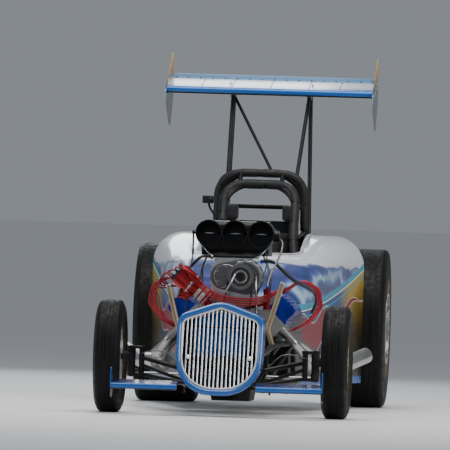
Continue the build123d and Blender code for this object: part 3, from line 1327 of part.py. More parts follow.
PAD_GAP = 0.3
pad_low = SEAT_LOW + SEAT_WALL + PAD_GAP
base_pad = fillet(slab((-180, aft(2215), pad_low), (180, aft(2590), pad_low + 46)).edges(), 16)
low_back = seat_back(530) - SEAT_WALL - PAD_GAP
high_back = seat_back(1000) - SEAT_WALL - PAD_GAP
back_side = Sketch() + make_face(Polyline(
    (low_back - 48, 530), (low_back, 530), (high_back, 1000), (high_back - 40, 1000), close=True))
back_plane = Plane(origin=(-175, 0, 0), x_dir=(0, 1, 0), z_dir=(1, 0, 0))
back_pad = fillet(extrude(back_plane * back_side, amount=350).edges(), 14)
save("seat_pads", base_pad, back_pad)

# Parachute pack against the deck's end wall

PACK_LENGTH = 190.0
PACK_HALF_W = 125.0
pack_front = DECK_END_Y + PAD_GAP
parachute_pack = fillet(
    slab((-PACK_HALF_W, pack_front, 612), (PACK_HALF_W, pack_front + PACK_LENGTH, 768)).edges(), 34)
save("parachute_pack", parachute_pack)

# Wheelie bar: two long tubes each side to a pair of small wheels

wheelie_y = TAIL_Y - WHEELIE_R
WHEELIE_X = 120.0
wheelie_left = [
    rod((CABIN_RAIL_X - 12, aft(3140), 250), (WHEELIE_X, wheelie_y, WHEELIE_Z), 12),
    rod((CABIN_RAIL_X - 15, aft(3235), 430), (WHEELIE_X, wheelie_y, WHEELIE_Z), 12),
]
wheelie_axle = rod((-WHEELIE_X - 16, wheelie_y, WHEELIE_Z), (WHEELIE_X + 16, wheelie_y, WHEELIE_Z), 9)
wheelie_bar = welded([*both(wheelie_left), wheelie_axle]) - chassis_frame - rear_housing
wheelie_bar = sorted(wheelie_bar.solids(), key=lambda solid: solid.volume)[-1]
wheelie_roller_x = 70.0
roller = turned([
    (-WHEELIE_W / 2, 9 + RUN), (WHEELIE_W / 2, 9 + RUN), (WHEELIE_W / 2, WHEELIE_R - 6),
    (WHEELIE_W / 2 - 6, WHEELIE_R), (-WHEELIE_W / 2 + 6, WHEELIE_R), (-WHEELIE_W / 2, WHEELIE_R - 6)])
roller = Pos(wheelie_roller_x, wheelie_y, WHEELIE_Z) * roller
save("wheelie_bar", wheelie_bar)
save("wheelie_wheels", roller, mirrored(roller))
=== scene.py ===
# %% [markdown]
# This is a drag racing roadster, seen from far ahead through a long lens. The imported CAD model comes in
# first and stays where it is. Its frame is in metres: +Z is up, the nose points to -Y, and the car's left
# side is +X. Everything below is made around it.

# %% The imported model
from math import atan, cos, pi, radians, sin

import bmesh
import bpy
from mathutils import Matrix, Vector


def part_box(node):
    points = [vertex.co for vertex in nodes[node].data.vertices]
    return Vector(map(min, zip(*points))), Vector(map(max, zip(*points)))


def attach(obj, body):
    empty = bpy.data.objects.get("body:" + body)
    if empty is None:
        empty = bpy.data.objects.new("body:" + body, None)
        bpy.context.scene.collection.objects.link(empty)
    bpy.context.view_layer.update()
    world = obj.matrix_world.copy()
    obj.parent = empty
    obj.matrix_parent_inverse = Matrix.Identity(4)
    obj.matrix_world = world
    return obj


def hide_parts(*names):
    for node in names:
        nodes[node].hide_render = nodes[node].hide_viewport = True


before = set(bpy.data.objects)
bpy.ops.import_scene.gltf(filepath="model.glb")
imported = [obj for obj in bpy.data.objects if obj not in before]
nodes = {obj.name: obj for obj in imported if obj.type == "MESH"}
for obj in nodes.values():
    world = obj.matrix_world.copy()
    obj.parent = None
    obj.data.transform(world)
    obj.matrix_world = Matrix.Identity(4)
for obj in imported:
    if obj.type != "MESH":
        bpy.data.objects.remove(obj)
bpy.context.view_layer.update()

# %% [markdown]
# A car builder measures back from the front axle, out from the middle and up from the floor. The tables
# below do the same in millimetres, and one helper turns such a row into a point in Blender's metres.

FRONT_AXLE_Y = -1.970


def aft(distance):
    """The Y of a point this far behind the front axle."""
    return FRONT_AXLE_Y + distance


def at(x, back, z):
    """A point from millimetres: out from the middle, behind the front axle, up from the floor."""
    return Vector((x / 1000, aft(back / 1000), z / 1000))


# %% [markdown]
# The photograph was taken with a long lens from about 46 m ahead, a little to the car's left, and the
# camera was tilted by less than two degrees. A camera could be aimed with a constraint, but the place and
# the tilt are known here, so its three axes are written down as a matrix.

# %% Camera
CAMERA_AWAY = 46.0
CAMERA_HEIGHT = 1.08
CAMERA_YAW = radians(4.0)
CAMERA_ROLL = radians(1.75)
FOCAL_PX = 8487.0
FRAME_PX = 450
SENSOR_MM = 36.0
SIDE_SHIFT = 0.014
HORIZON_PX = 9.0
SIGHT_LIMIT = 2000

right = Vector((cos(CAMERA_YAW), sin(CAMERA_YAW), 0))
ahead = Vector((-sin(CAMERA_YAW), cos(CAMERA_YAW), 0))
pitch = atan(HORIZON_PX / FOCAL_PX)
look = ahead * cos(pitch) - Vector((0, 0, 1)) * sin(pitch)
level_up = right.cross(look)
rolled_right = right * cos(CAMERA_ROLL) + level_up * sin(CAMERA_ROLL)
rolled_up = level_up * cos(CAMERA_ROLL) - right * sin(CAMERA_ROLL)
stand = Vector((0, aft(0), CAMERA_HEIGHT)) - ahead * CAMERA_AWAY - right * SIDE_SHIFT

lens = bpy.data.cameras.new("long_lens")
lens.sensor_width = SENSOR_MM
lens.lens = FOCAL_PX / FRAME_PX * SENSOR_MM
lens.clip_end = SIGHT_LIMIT
camera = bpy.data.objects.new("camera", lens)
axes = zip(rolled_right, rolled_up, -look, stand)
camera.matrix_world = Matrix((*axes, (0, 0, 0, 1)))
bpy.context.scene.collection.objects.link(camera)
bpy.context.scene.camera = camera
print("lens", round(lens.lens), "mm, camera at", [round(c, 2) for c in stand])

# %% [markdown]
# The car stands on a plain pale floor under soft light. The photograph was taken under a grey sky, which
# is one huge soft source, so the world gives most of the light here and four large panels shape it.

# %% Floor, sky and lamps
FLOOR_SIZE = 1600.0
SKY_COLOUR = (0.80, 0.86, 0.94, 1)
SKY_STRENGTH = 0.30


def link(obj):
    """Puts an object into the scene."""
    bpy.context.scene.collection.objects.link(obj)
    return obj


floor_mesh = bpy.data.meshes.new("floor")
floor_shape = bmesh.new()
bmesh.ops.create_grid(floor_shape, x_segments=2, y_segments=2, size=FLOOR_SIZE / 2)
floor_shape.to_mesh(floor_mesh)
floor_shape.free()
floor = link(bpy.data.objects.new("floor", floor_mesh))

world = bpy.data.worlds.new("grey_sky")
bpy.context.scene.world = world
world.use_nodes = True
sky = world.node_tree.nodes["Background"]
sky.inputs["Color"].default_value = SKY_COLOUR
sky.inputs["Strength"].default_value = SKY_STRENGTH

# Each panel: name, place, height that it aims at, width, power, colour
for name, place, aim, width, power, colour in (
    ("sky_panel", (0.3, -1.0, 6.5), 0.5, 5.0, 360, (1.0, 0.98, 0.95)),
    ("left_panel", (7.0, -5.0, 3.6), 0.6, 3.0, 230, (1.0, 0.97, 0.92)),
    ("right_panel", (-7.5, -3.0, 3.0), 0.6, 3.0, 130, (0.90, 0.95, 1.0)),
    ("back_panel", (-2.0, 8.0, 4.5), 0.8, 4.0, 160, (0.95, 0.97, 1.0)),
):
    panel = bpy.data.lights.new(name, "AREA")
    panel.size = width
    panel.energy = power
    panel.color = colour
    lamp = link(bpy.data.objects.new(name, panel))
    lamp.location = place
    lamp.rotation_euler = (Vector((0, 0, aim)) - Vector(place)).to_track_quat("-Z", "Y").to_euler()
print("floor, sky and lamps made")

# %% [markdown]
# Every finish is a node tree. The trees could be drawn by hand in the editor, but here each is a few
# lines: a small class adds a node, links the sockets that it is given and sets the numbers. Colours are
# written as three numbers.

# %% Wiring a node tree


class Wiring:
    """A node tree, with short ways to add its nodes. Patterns read the place in self.where."""

    def __init__(self, tree, where=None):
        self.tree = tree
        self.where = where

    def add(self, kind, inputs=None, **settings):
        """A new node with its settings, its numbers and its links."""
        node = self.tree.nodes.new("ShaderNode" + kind)
        for key, value in settings.items():
            setattr(node, key, value)
        for key, value in (inputs or {}).items():
            if isinstance(value, bpy.types.NodeSocket):
                self.tree.links.new(value, node.inputs[key])
            else:
                node.inputs[key].default_value = value
        return node

    def math(self, operation, first, second=0.0, third=0.0):
        """The result of one Math node."""
        return self.add("Math", {0: first, 1: second, 2: third}, operation=operation).outputs[0]

    def times(self, first, second):
        """A product."""
        return self.math("MULTIPLY", first, second)

    def scaled(self, value, factor, start):
        """A value times a factor, on top of a start."""
        return self.math("MULTIPLY_ADD", value, factor, start)

    def spread(self, value, low, high, to_low=0.0, to_high=1.0, kind="SMOOTHSTEP"):
        """A value carried from one range to another, and held at its ends."""
        return self.add("MapRange", {
            "Value": value, "From Min": low, "From Max": high, "To Min": to_low, "To Max": to_high,
        }, interpolation_type=kind).outputs["Result"]

    def mix(self, share, low, high):
        """A colour between two others."""
        low, high = ((*tint, 1) if isinstance(tint, tuple) else tint for tint in (low, high))
        return self.add("Mix", {0: share, 6: low, 7: high}, data_type="RGBA").outputs[2]

    def noise(self, scale, detail, **more):
        """Cloudy values."""
        inputs = {"Vector": self.where, "Scale": scale, "Detail": detail, **more}
        return self.add("TexNoise", inputs).outputs["Fac"]

    def wave(self, scale, more=None, **settings):
        """Straight or ringed waves."""
        inputs = {"Vector": self.where, "Scale": scale, **(more or {})}
        return self.add("TexWave", inputs, **settings).outputs["Fac"]

    def vector(self, operation, first, second, output=0):
        """The result of one Vector Math node."""
        return self.add("VectorMath", {0: first, 1: second}, operation=operation).outputs[output]

    def parts(self, vector=None):
        """The X, Y and Z of a vector, by default of the place."""
        return self.add("SeparateXYZ", {0: vector or self.where}).outputs

    def ramp(self, value, *stops):
        """A colour ramp from rows of (position, colour)."""
        node = self.add("ValToRGB", {"Fac": value})
        first, second = node.color_ramp.elements
        for element, (position, colour) in ((first, stops[0]), (second, stops[-1])):
            element.position, element.color = position, (*colour, 1)
        for position, colour in stops[1:-1]:
            node.color_ramp.elements.new(position).color = (*colour, 1)
        return node.outputs["Color"]

    def dust(self, top, strength):
        """How much road dust lies on a point."""
        return self.add("Group", node_tree=dust_film, inputs={
            "Vector": self.where, "Top": top, "Strength": strength}).outputs["Mask"]

    def band(self, value, middle, half_width, soft):
        """Whether a value lies within a band."""
        return self.add("Group", node_tree=painted_band, inputs={
            "Value": value, "Middle": middle, "Half Width": half_width, "Soft": soft}).outputs["Mask"]


print("node trees can be wired")

# %% [markdown]
# A finish is such a tree inside a material. The paint's shine and clear coat are plain numbers on its
# shader, and its patterns read Object coordinates, which stay with the car when it moves.

# %% Starting a finish


class Finish(Wiring):
    """A material under way: its shader is set, and self.where holds its Object coordinates."""

    def __init__(self, name, metallic, rough, coat=0.0, coat_rough=0.06, shine=0.5):
        self.material = bpy.data.materials.new(name)
        self.material.use_nodes = True
        super().__init__(self.material.node_tree)
        self.shader = self.tree.nodes["Principled BSDF"]
        for socket, value in (("Metallic", metallic), ("Roughness", rough), ("Coat Weight", coat),
                              ("Coat Roughness", coat_rough), ("Specular IOR Level", shine)):
            self.shader.inputs[socket].default_value = value
        self.where = self.add("TexCoord").outputs["Object"]

    def feed(self, socket, value):
        """Links a value to the shader."""
        self.tree.links.new(value, self.shader.inputs[socket])

    def relief(self, height, strength, distance):
        """Small relief from a height."""
        bump = self.add("Bump", {"Height": height, "Strength": strength, "Distance": distance})
        self.feed("Normal", bump.outputs["Normal"])


print("finishes can be started")

# %% [markdown]
# Effects that many finishes share are node groups, made once: a film of road dust that thickens towards
# the floor, the uneven tone of worked metal, and a band that runs between two values. They could be
# copied into each material, but a group keeps one place to change them.

# %% Shared effects
FLOAT, VECTOR = "NodeSocketFloat", "NodeSocketVector"
DUST_COLOUR = (0.30, 0.27, 0.23)
DUST_FLOOR = 0.05


def start_group(name, inputs, output_names):
    """A new node group, the sockets that come in, and a function that links one that goes out."""
    tree = bpy.data.node_groups.new(name, "ShaderNodeTree")
    for label, kind, value in inputs:
        socket = tree.interface.new_socket(label, in_out="INPUT", socket_type=kind)
        if value is not None:
            socket.default_value = value
    for label in output_names:
        tree.interface.new_socket(label, in_out="OUTPUT", socket_type=FLOAT)
    given = tree.nodes.new("NodeGroupInput").outputs
    result = tree.nodes.new("NodeGroupOutput").inputs
    return tree, Wiring(tree, given.get("Vector")), given, result


dust_film, wires, given, result = start_group(
    "road_film", [("Vector", VECTOR, None), ("Top", FLOAT, 0.5), ("Strength", FLOAT, 0.5)], ["Mask"])
lowness = wires.spread(wires.parts()["Z"], given["Top"], DUST_FLOOR, kind="LINEAR")
patches = wires.spread(wires.noise(9.0, 6.0), 0.35, 0.7)
wires.tree.links.new(wires.times(wires.times(lowness, patches), given["Strength"]), result["Mask"])

worked_metal, wires, given, result = start_group(
    "worked_metal", [("Vector", VECTOR, None), ("Grain", VECTOR, (1.0, 1.0, 1.0)), ("Scale", FLOAT, 60.0)],
    ["Tone", "Height"])
broad = wires.noise(7.0, 3.0)
wires.where = wires.vector("MULTIPLY", given["Vector"], given["Grain"])
fine = wires.noise(given["Scale"], 5.0)
wires.tree.links.new(wires.times(wires.math("ADD", fine, broad), 0.5), result["Tone"])
wires.tree.links.new(fine, result["Height"])

painted_band, wires, given, result = start_group(
    "painted_band",
    [("Value", FLOAT, 0.0), ("Middle", FLOAT, 0.0), ("Half Width", FLOAT, 0.01), ("Soft", FLOAT, 0.002)],
    ["Mask"])
off = wires.math("ABSOLUTE", wires.math("SUBTRACT", given["Value"], given["Middle"]))
outer_edge = wires.math("ADD", given["Half Width"], given["Soft"])
wires.tree.links.new(wires.spread(off, outer_edge, given["Half Width"]), result["Mask"])
print("shared effects:", dust_film.name, worked_metal.name, painted_band.name)

# %% [markdown]
# Most finishes on the car differ only in a few numbers: two tones, how metallic and how rough they are,
# the direction and size of their grain, and how much dust they carry. One function makes them all, so a
# table can list them.

# %% Plain finishes
GRIME_ROUGHNESS = 0.4


def worked_finish(name, dark, light, metallic, rough, grain=(1, 1, 1), scale=60.0, bump=0.15,
                  swing=0.12, dust=0.35, coat=0.0, shine=0.5):
    """A finish between two tones, with grain, uneven gloss and road dust."""
    made = Finish(name, metallic, rough, coat, shine=shine)
    inputs = {"Vector": made.where, "Grain": grain, "Scale": scale}
    tone = made.add("Group", inputs, node_tree=worked_metal).outputs
    colour = made.mix(made.spread(tone["Tone"], 0.35, 0.65), dark, light)
    film = made.dust(0.55, dust)
    made.feed("Base Color", made.mix(film, colour, DUST_COLOUR))
    gloss = made.scaled(tone["Tone"], swing, rough - swing / 2)
    made.feed("Roughness", made.scaled(film, GRIME_ROUGHNESS, gloss))
    made.relief(tone["Height"], bump, 0.001)
    return made.material


NEAR_BLACK = (0.003, 0.003, 0.0035), (0.010, 0.010, 0.011), 0.0
satin_black = worked_finish(
    "satin_black_tube", *NEAR_BLACK, 0.34, scale=90, dust=0.12, coat=0.05, shine=0.3)
hat_black = worked_finish("satin_black_hat", *NEAR_BLACK, 0.40, scale=140, bump=0.1, dust=0.0, shine=0.3)
engine_black = worked_finish(
    "engine_black", (0.006, 0.006, 0.007), (0.020, 0.020, 0.022), 0.2, 0.5, scale=120, dust=0.2, shine=0.3)
cast = worked_finish("cast_alloy", (0.34, 0.34, 0.33), (0.56, 0.56, 0.55), 0.9, 0.42, scale=260, bump=0.4)
dull_cast = worked_finish(
    "dull_casting", (0.13, 0.13, 0.135), (0.27, 0.27, 0.275), 0.85, 0.46, scale=180, bump=0.3, dust=0.0)
bright = worked_finish(
    "bright_alloy", (0.62, 0.62, 0.62), (0.80, 0.80, 0.80), 1.0, 0.20, scale=120, bump=0.05)
sheet_alloy = worked_finish(
    "brushed_sheet", (0.52, 0.53, 0.54), (0.70, 0.71, 0.72), 1.0, 0.34, grain=(1, 12, 12), scale=90,
    bump=0.12)
chrome = worked_finish(
    "chrome", (0.78, 0.79, 0.80), (0.90, 0.90, 0.91), 1.0, 0.07, swing=0.05, bump=0.02, dust=0.15)
blue_cover = worked_finish(
    "blue_anodised", (0.006, 0.02, 0.30), (0.015, 0.06, 0.62), 0.75, 0.26, scale=200, dust=0.0)
red_cover = worked_finish(
    "red_anodised", (0.24, 0.008, 0.012), (0.52, 0.022, 0.03), 0.6, 0.27, scale=200, dust=0.0)
red_silicone = worked_finish(
    "red_silicone", (0.22, 0.005, 0.009), (0.50, 0.018, 0.028), 0.0, 0.35, scale=150, bump=0.05, dust=0.0,
    shine=0.35)
tan_tube = worked_finish("tan_tube", (0.30, 0.22, 0.13), (0.50, 0.38, 0.24), 0.35, 0.38, scale=160)
header_steel = worked_finish(
    "header_steel", (0.30, 0.295, 0.285), (0.58, 0.57, 0.55), 1.0, 0.28, grain=(6, 1, 6))
machined = worked_finish("machined_steel", (0.35, 0.35, 0.36), (0.58, 0.58, 0.60), 1.0, 0.33, scale=150)
belt_rubber = worked_finish(
    "belt_rubber", (0.012, 0.012, 0.012), (0.032, 0.032, 0.032), 0.0, 0.62, grain=(1, 8, 1), scale=120,
    dust=0.0)
grip_rubber = worked_finish(
    "grip_rubber", (0.010, 0.010, 0.011), (0.028, 0.028, 0.030), 0.0, 0.55, scale=300, bump=0.35)
print("plain finishes made")

# %% [markdown]
# The floor is one pale grey, with the faintest change of tone so that it doesn't look like paper.

# %% Floor finish
paint = Finish("pale_floor", 0.0, 0.6)
paint.feed("Base Color", paint.mix(paint.noise(0.6, 4.0), (0.84, 0.84, 0.84), (0.90, 0.90, 0.90)))
floor.data.materials.append(paint.material)
print("floor finished")

# %% [markdown]
# A CAD node comes in with a plain grey slot. Its look is set by putting a finish into that slot, and a
# list of names for each finish reads like a painter's order sheet. Every node gets one, so nothing shows
# in grey.

# %% Which node gets which finish


def dress(material, *names):
    """Gives CAD nodes one finish."""
    for name in names:
        slots = nodes[name].data.materials
        slots.clear()
        slots.append(material)


dress(satin_black, "chassis_frame", "roll_cage", "front_axle", "rear_axle_housing", "wing_struts",
      "wheelie_bar", "seat")
dress(hat_black, "injector_hat")
dress(engine_black, "engine_block", "knuckle_left", "knuckle_right")
dress(cast, "cylinder_heads", "intake_manifold", "transmission")
dress(dull_cast, "blower_drive")
dress(bright, "blower_case", "front_rim_left", "front_rim_right", "rear_rims", "fuel_tank")
dress(sheet_alloy, "firewall", "belly_pan")
dress(blue_cover, "valve_covers")
dress(red_cover, "magneto", "fuel_filter")
dress(red_silicone, "plug_wires")
dress(tan_tube, "breather_tubes")
dress(header_steel, "headers")
dress(machined, "tie_rod", "steering_shaft", "rear_axle_shaft")
dress(belt_rubber, "blower_belt")
dress(grip_rubber, "steering_wheel", "wheelie_wheels", "seat_pads", "parachute_pack")
print("plain finishes given out")

# %% [markdown]
# Tyres are turned shapes, so their patterns follow the distance from the axle. The front tyres have
# straight ribs round the tread, as the streaks in the photograph show. The slicks have no pattern: their
# tread is scuffed and picks up rubber, and the sidewalls carry a patchy brown band near the rim.

# %% Tyre finishes
AXLE_FRONT = (aft(0), 0.305)
AXLE_REAR = (aft(3.175), 0.457)
RING_PITCH = 0.012
SHOULDER = (0.020, 0.006)  # the tread starts this far inside the tyre's radius
BROWN_REACH = 0.035


def tyre_finish(name, axle, radius, middle, rib_pitch, rib_depth, brown_share, brown_radius):
    """Black rubber: a scuffed tread, ringed sidewalls and a patchy brown band near the rim."""
    made = Finish(name, 0.0, 0.6, shine=0.18)
    local = made.parts(made.vector("SUBTRACT", made.where, (0, *axle)))
    flat = made.add("CombineXYZ", {"Y": local["Y"], "Z": local["Z"]}).outputs[0]
    away = made.add("VectorMath", {0: flat}, operation="LENGTH").outputs["Value"]
    across = made.math("SUBTRACT", made.math("ABSOLUTE", local["X"]), middle)
    on_tread = made.spread(away, radius - SHOULDER[0], radius - SHOULDER[1])
    scuff = made.noise(38.0, 8.0)
    drawn_out = Wiring(made.tree, made.vector("MULTIPLY", made.where, (90.0, 3.0, 3.0)))
    wave = made.math("SINE", made.times(across, 2 * pi / rib_pitch))
    rib = made.times(made.spread(wave, -0.95, -0.55), on_tread)
    rings = made.math("SINE", made.times(away, 2 * pi / RING_PITCH))
    ringed = made.times(rings, made.band(away, radius * 0.86, 0.016, 0.004))
    tone = made.spread(drawn_out.noise(1.0, 4.0), 0.35, 0.68)
    tread = made.mix(tone, (0.004, 0.004, 0.0045), (0.013, 0.0126, 0.0122))
    wall = made.mix(scuff, (0.003, 0.003, 0.0035), (0.010, 0.0098, 0.0095))
    near_rim = made.spread(away, brown_radius + BROWN_REACH, brown_radius)
    patchy = made.times(near_rim, made.spread(scuff, 0.25, 0.65))
    rubber = made.mix(on_tread, wall, tread)
    made.feed("Base Color", made.mix(made.times(patchy, brown_share), rubber, (0.23, 0.165, 0.085)))
    made.feed("Roughness", made.spread(scuff, 0.3, 0.7, 0.44, 0.72))
    height = made.scaled(rib, rib_depth, made.times(ringed, 0.25))
    made.relief(made.scaled(scuff, 0.15, height), 0.6, 0.004)
    return made.material


front_rubber = tyre_finish("ribbed_front_rubber", AXLE_FRONT, 0.305, 0.6155, 0.0187, 1.0, 0.35, 0.212)
slick_rubber = tyre_finish("slick_rubber", AXLE_REAR, 0.457, 0.545, 0.05, 0.0, 0.85, 0.27)
dress(front_rubber, "front_tyre_left", "front_tyre_right")
dress(slick_rubber, "slick_left", "slick_right")
print("tyre finishes made")

# %% [markdown]
# The body is the showpiece. Its shoulders and deck are pearl white. A cyan stripe climbs along each side
# from the firewall to the rear flare, and the side below it is gold that darkens to olive, with a dark
# red scallop. It could be a picture wrapped round the shell, but worked out from Object coordinates it
# stays sharp at any distance: the stripe is a height that depends on the distance along the car.

# %% Paint helper and the body's sides
LACQUER_ROUGH, LACQUER_RIPPLE = 0.24, 150.0


def painted(made, colour, dust_top=0.5, dust=0.25):
    """Finishes a paint: road dust over the colour, and the faint ripple of sprayed lacquer."""
    film = made.dust(dust_top, dust)
    made.feed("Base Color", made.mix(film, colour, DUST_COLOUR))
    made.feed("Roughness", made.scaled(film, 0.45, LACQUER_ROUGH))
    made.relief(made.noise(LACQUER_RIPPLE, 2.0), 0.04, 0.001)
    return made.material


paint = Finish("roadster_paint", 0.15, 0.24, 1.0, shine=0.35)
sideways, along, height = paint.parts()
sideways = paint.math("ABSOLUTE", sideways)
# Height of the cyan stripe: 0.66 + 0.17 y + 0.09 y^2
stripe_height = paint.scaled(paint.times(along, along), 0.09, paint.scaled(along, 0.17, 0.66))
over_stripe = paint.math("SUBTRACT", height, stripe_height)

cloud = paint.noise(6.0, 4.0)
gold_share = paint.scaled(cloud, 0.3, paint.spread(over_stripe, -0.42, 0.0, kind="LINEAR"))
gold = paint.ramp(gold_share, (0.12, (0.012, 0.010, 0.006)), (0.40, (0.060, 0.040, 0.008)),
                  (0.75, (0.23, 0.15, 0.012)), (1.0, (0.46, 0.31, 0.03)))
front_blend = paint.spread(along, 0.10, 0.42)
shadow_side = paint.ramp(gold_share, (0.10, (0.004, 0.005, 0.012)), (0.55, (0.010, 0.020, 0.075)),
                         (1.0, (0.03, 0.075, 0.24)))
side_colour = paint.mix(front_blend, shadow_side, gold)
# A dark red scallop with a pale outline runs back under the stripe and ends in a point
scallop_line = paint.scaled(paint.math("SINE", paint.times(along, 11.0)), 0.035, over_stripe)
for extra, tint in ((0.007, (0.62, 0.60, 0.58)), (0.0, (0.28, 0.008, 0.010))):
    half = paint.spread(along, 0.66, -0.35, extra / 2, 0.090 + extra)
    side_colour = paint.mix(paint.band(scallop_line, -0.165, half, 0.002), side_colour, tint)

print("the body's sides have their colours")

# %% [markdown]
# Above the stripe the cowl is airbrushed in blue and violet swirls, which are ringed waves bent by noise.
# The white over it ends in a soft wave that dips a little towards the sides, with a thin blue edge.

# %% The body's top and its stripes
CREAM_LINE = (0.90, 0.88, 0.80)
CYAN = (0.01, 0.33, 0.52)
SILL_BLUE = (0.015, 0.10, 0.42)

bend = paint.noise(3.4, 3.0, Distortion=1.6)
swirl = paint.wave(1.9, {"Distortion": 9.0, "Detail": 3.0, "Detail Scale": 1.4, "Phase Offset": 1.3},
                   wave_type="RINGS", rings_direction="SPHERICAL")
airbrush = paint.ramp(
    paint.scaled(swirl, 0.65, paint.times(bend, 0.4)),
    (0.10, (0.006, 0.012, 0.060)), (0.30, (0.012, 0.045, 0.26)), (0.46, (0.07, 0.055, 0.30)),
    (0.60, (0.05, 0.15, 0.42)), (0.74, (0.16, 0.30, 0.52)), (0.92, (0.50, 0.62, 0.78)))

side_dip = paint.times(paint.times(sideways, sideways), -0.10)
white_edge = paint.scaled(bend, 0.07, paint.math("ADD", side_dip, 0.795))
over_edge = paint.math("SUBTRACT", height, white_edge)
is_side = paint.spread(over_stripe, 0.004, -0.004)
is_top = paint.math("SUBTRACT", 1.0, is_side)
colour = paint.mix(is_side, airbrush, side_colour)
pearl = paint.mix(bend, (0.66, 0.69, 0.75), (0.84, 0.86, 0.90))
colour = paint.mix(paint.times(paint.spread(over_edge, -0.008, 0.012), is_top), colour, pearl)
edge_line = paint.band(over_edge, -0.006, 0.004, 0.002)
colour = paint.mix(paint.times(edge_line, is_top), colour, (0.05, 0.10, 0.30))
for middle, half, tint in ((0.0, 0.0155, CYAN), (-0.021, 0.0028, CREAM_LINE), (-0.055, 0.003, CYAN)):
    colour = paint.mix(paint.band(over_stripe, middle, half, 0.0015), colour, tint)
colour = paint.mix(paint.spread(height, 0.192, 0.186), colour, SILL_BLUE)
paint.feed("Coat Weight", paint.scaled(is_side, -0.75, 1.0))
dress(painted(paint, colour, dust_top=0.45, dust=0.3), "body_shell")
print("body painted")

# %% [markdown]
# The grille shell and the front wings are sprayed in mid-blue, navy on top of the wings; the black below the
# wings is painted shade.
# The two skins of a wing could be two materials, but its faces are loose triangles, so the height over
# the wing's own plane tells top from bottom: a dot product with the direction that the plane faces.

# %% Blue paint and front wings
FRONT_WING_RISE = radians(16)
FRONT_WING_FACING = (0.0, -sin(FRONT_WING_RISE), cos(FRONT_WING_RISE))
FRONT_WING_LEAD = (0.0, -2.484, 0.134)
NAVY = (0.004, 0.014, 0.09)

paint = Finish("mid_blue_paint", 0.1, 0.22, 0.6)
mid_blue = paint.mix(paint.noise(2.2, 3.0), (0.008, 0.095, 0.38), (0.025, 0.17, 0.56))
dress(painted(paint, mid_blue, dust=0.15), "grille_shell")

paint = Finish("front_wing_paint", 0.1, 0.24, 0.2, shine=0.3)
from_lead = paint.vector("SUBTRACT", paint.where, FRONT_WING_LEAD)
over_plane = paint.vector("DOT_PRODUCT", from_lead, FRONT_WING_FACING, "Value")
top = paint.mix(paint.spread(paint.parts()["Y"], -2.455, -2.472), NAVY, (0.012, 0.12, 0.46))
# Black below the wing's plane is painted shade under the wing
colour = paint.mix(paint.spread(over_plane, 0.011, 0.007), top, (0.006, 0.007, 0.010))
dress(painted(paint, colour, dust=0.1), "front_wings")
print("grille shell and front wings painted")

# %% [markdown]
# The rear wing is banded along its chord: a riveted pale-blue strip at the trailing edge, silver-white
# over most of the plane, then a blue band, and the lower front of the leading edge is black, painted shade.
# The distance along the chord is a dot product with the wing's own direction, so the bands follow the tilt
# of the plane.

# %% Rear wing paint
WING_TILT = radians(13)
WING_LEAD = (0.0, aft(3.4) - 0.225 * cos(WING_TILT), 1.779)
WING_WAY = (0.0, cos(WING_TILT), sin(WING_TILT))
WING_FACING = (0.0, -sin(WING_TILT), cos(WING_TILT))
WING_CHORD = 0.450

paint = Finish("rear_wing_paint", 0.25, 0.32, 0.4, coat_rough=0.25)
from_lead = paint.vector("SUBTRACT", paint.where, WING_LEAD)
chord = paint.vector("DOT_PRODUCT", from_lead, WING_WAY, "Value")
over_plane = paint.vector("DOT_PRODUCT", from_lead, WING_FACING, "Value")
sideways, along, height = paint.parts()
colour = paint.ramp(
    paint.spread(chord, 0.0, WING_CHORD, kind="LINEAR"),
    (0.0, (0.008, 0.12, 0.44)), (0.05, (0.010, 0.15, 0.52)), (0.16, (0.03, 0.22, 0.60)),
    (0.20, (0.50, 0.58, 0.70)), (0.30, (0.66, 0.70, 0.77)), (0.55, (0.82, 0.85, 0.90)),
    (0.86, (0.62, 0.68, 0.78)), (0.875, (0.22, 0.42, 0.66)), (1.0, (0.30, 0.50, 0.72)))
# The lower front of the nose is black: painted shade under the leading edge
shaded_low_nose = paint.times(paint.spread(over_plane, 0.016, 0.014), paint.spread(chord, 0.07, 0.06))
colour = paint.mix(shaded_low_nose, colour, (0.005, 0.006, 0.010))
colour = paint.mix(paint.spread(over_plane, 0.0045, 0.0035), colour, (0.34, 0.36, 0.40))
plate_colour = paint.ramp(
    paint.spread(height, 1.60, 2.02, kind="LINEAR"),
    (0.0, (0.030, 0.034, 0.045)), (0.55, (0.055, 0.06, 0.08)), (0.66, (0.30, 0.17, 0.03)),
    (0.85, (0.62, 0.34, 0.05)), (1.0, (0.70, 0.45, 0.10)))
plate_lead = paint.spread(along, aft(3.4) - 0.255, aft(3.4) - 0.268)
plate_colour = paint.mix(plate_lead, plate_colour, (0.20, 0.36, 0.60))
on_plate = paint.spread(paint.math("ABSOLUTE", sideways), 0.5965, 0.5972)
rear_wing_paint = painted(paint, paint.mix(on_plate, colour, plate_colour), dust=0.0)
dress(rear_wing_paint, "rear_wing")
print("rear wing painted")

# %% [markdown]
# Small hardware is made once as a shape and set down many times inside one mesh, so a row of rivets is
# one piece. It could be a copied object for each, but a car has hundreds of them. Two helpers turn a
# shape into a piece that rides on a body, and sizes are in millimetres.

# %% Helpers for new pieces
MM = 0.001


def ride(obj, material, slot, body):
    """Gives an object its finish and the body that carries it. The slot is not used."""
    obj.data.materials.append(material)
    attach(obj, body)
    return obj


def piece(name, shape, finish, slot, body="chassis", smooth=True, closed=True):
    """Turns a finished bmesh into an object. The faces of a closed shape are pointed outwards."""
    if closed:
        bmesh.ops.recalc_face_normals(shape, faces=shape.faces)
    mesh = bpy.data.meshes.new(name)
    shape.to_mesh(mesh)
    shape.free()
    if smooth:
        mesh.shade_smooth()
    return ride(link(bpy.data.objects.new(name, mesh)), finish, slot, body)


def facing(place, way):
    """A place whose Z axis points along a direction."""
    return Matrix.Translation(place) @ Vector(way).to_track_quat("Z", "Y").to_matrix().to_4x4()


print("helpers ready, one millimetre is", MM, "m")

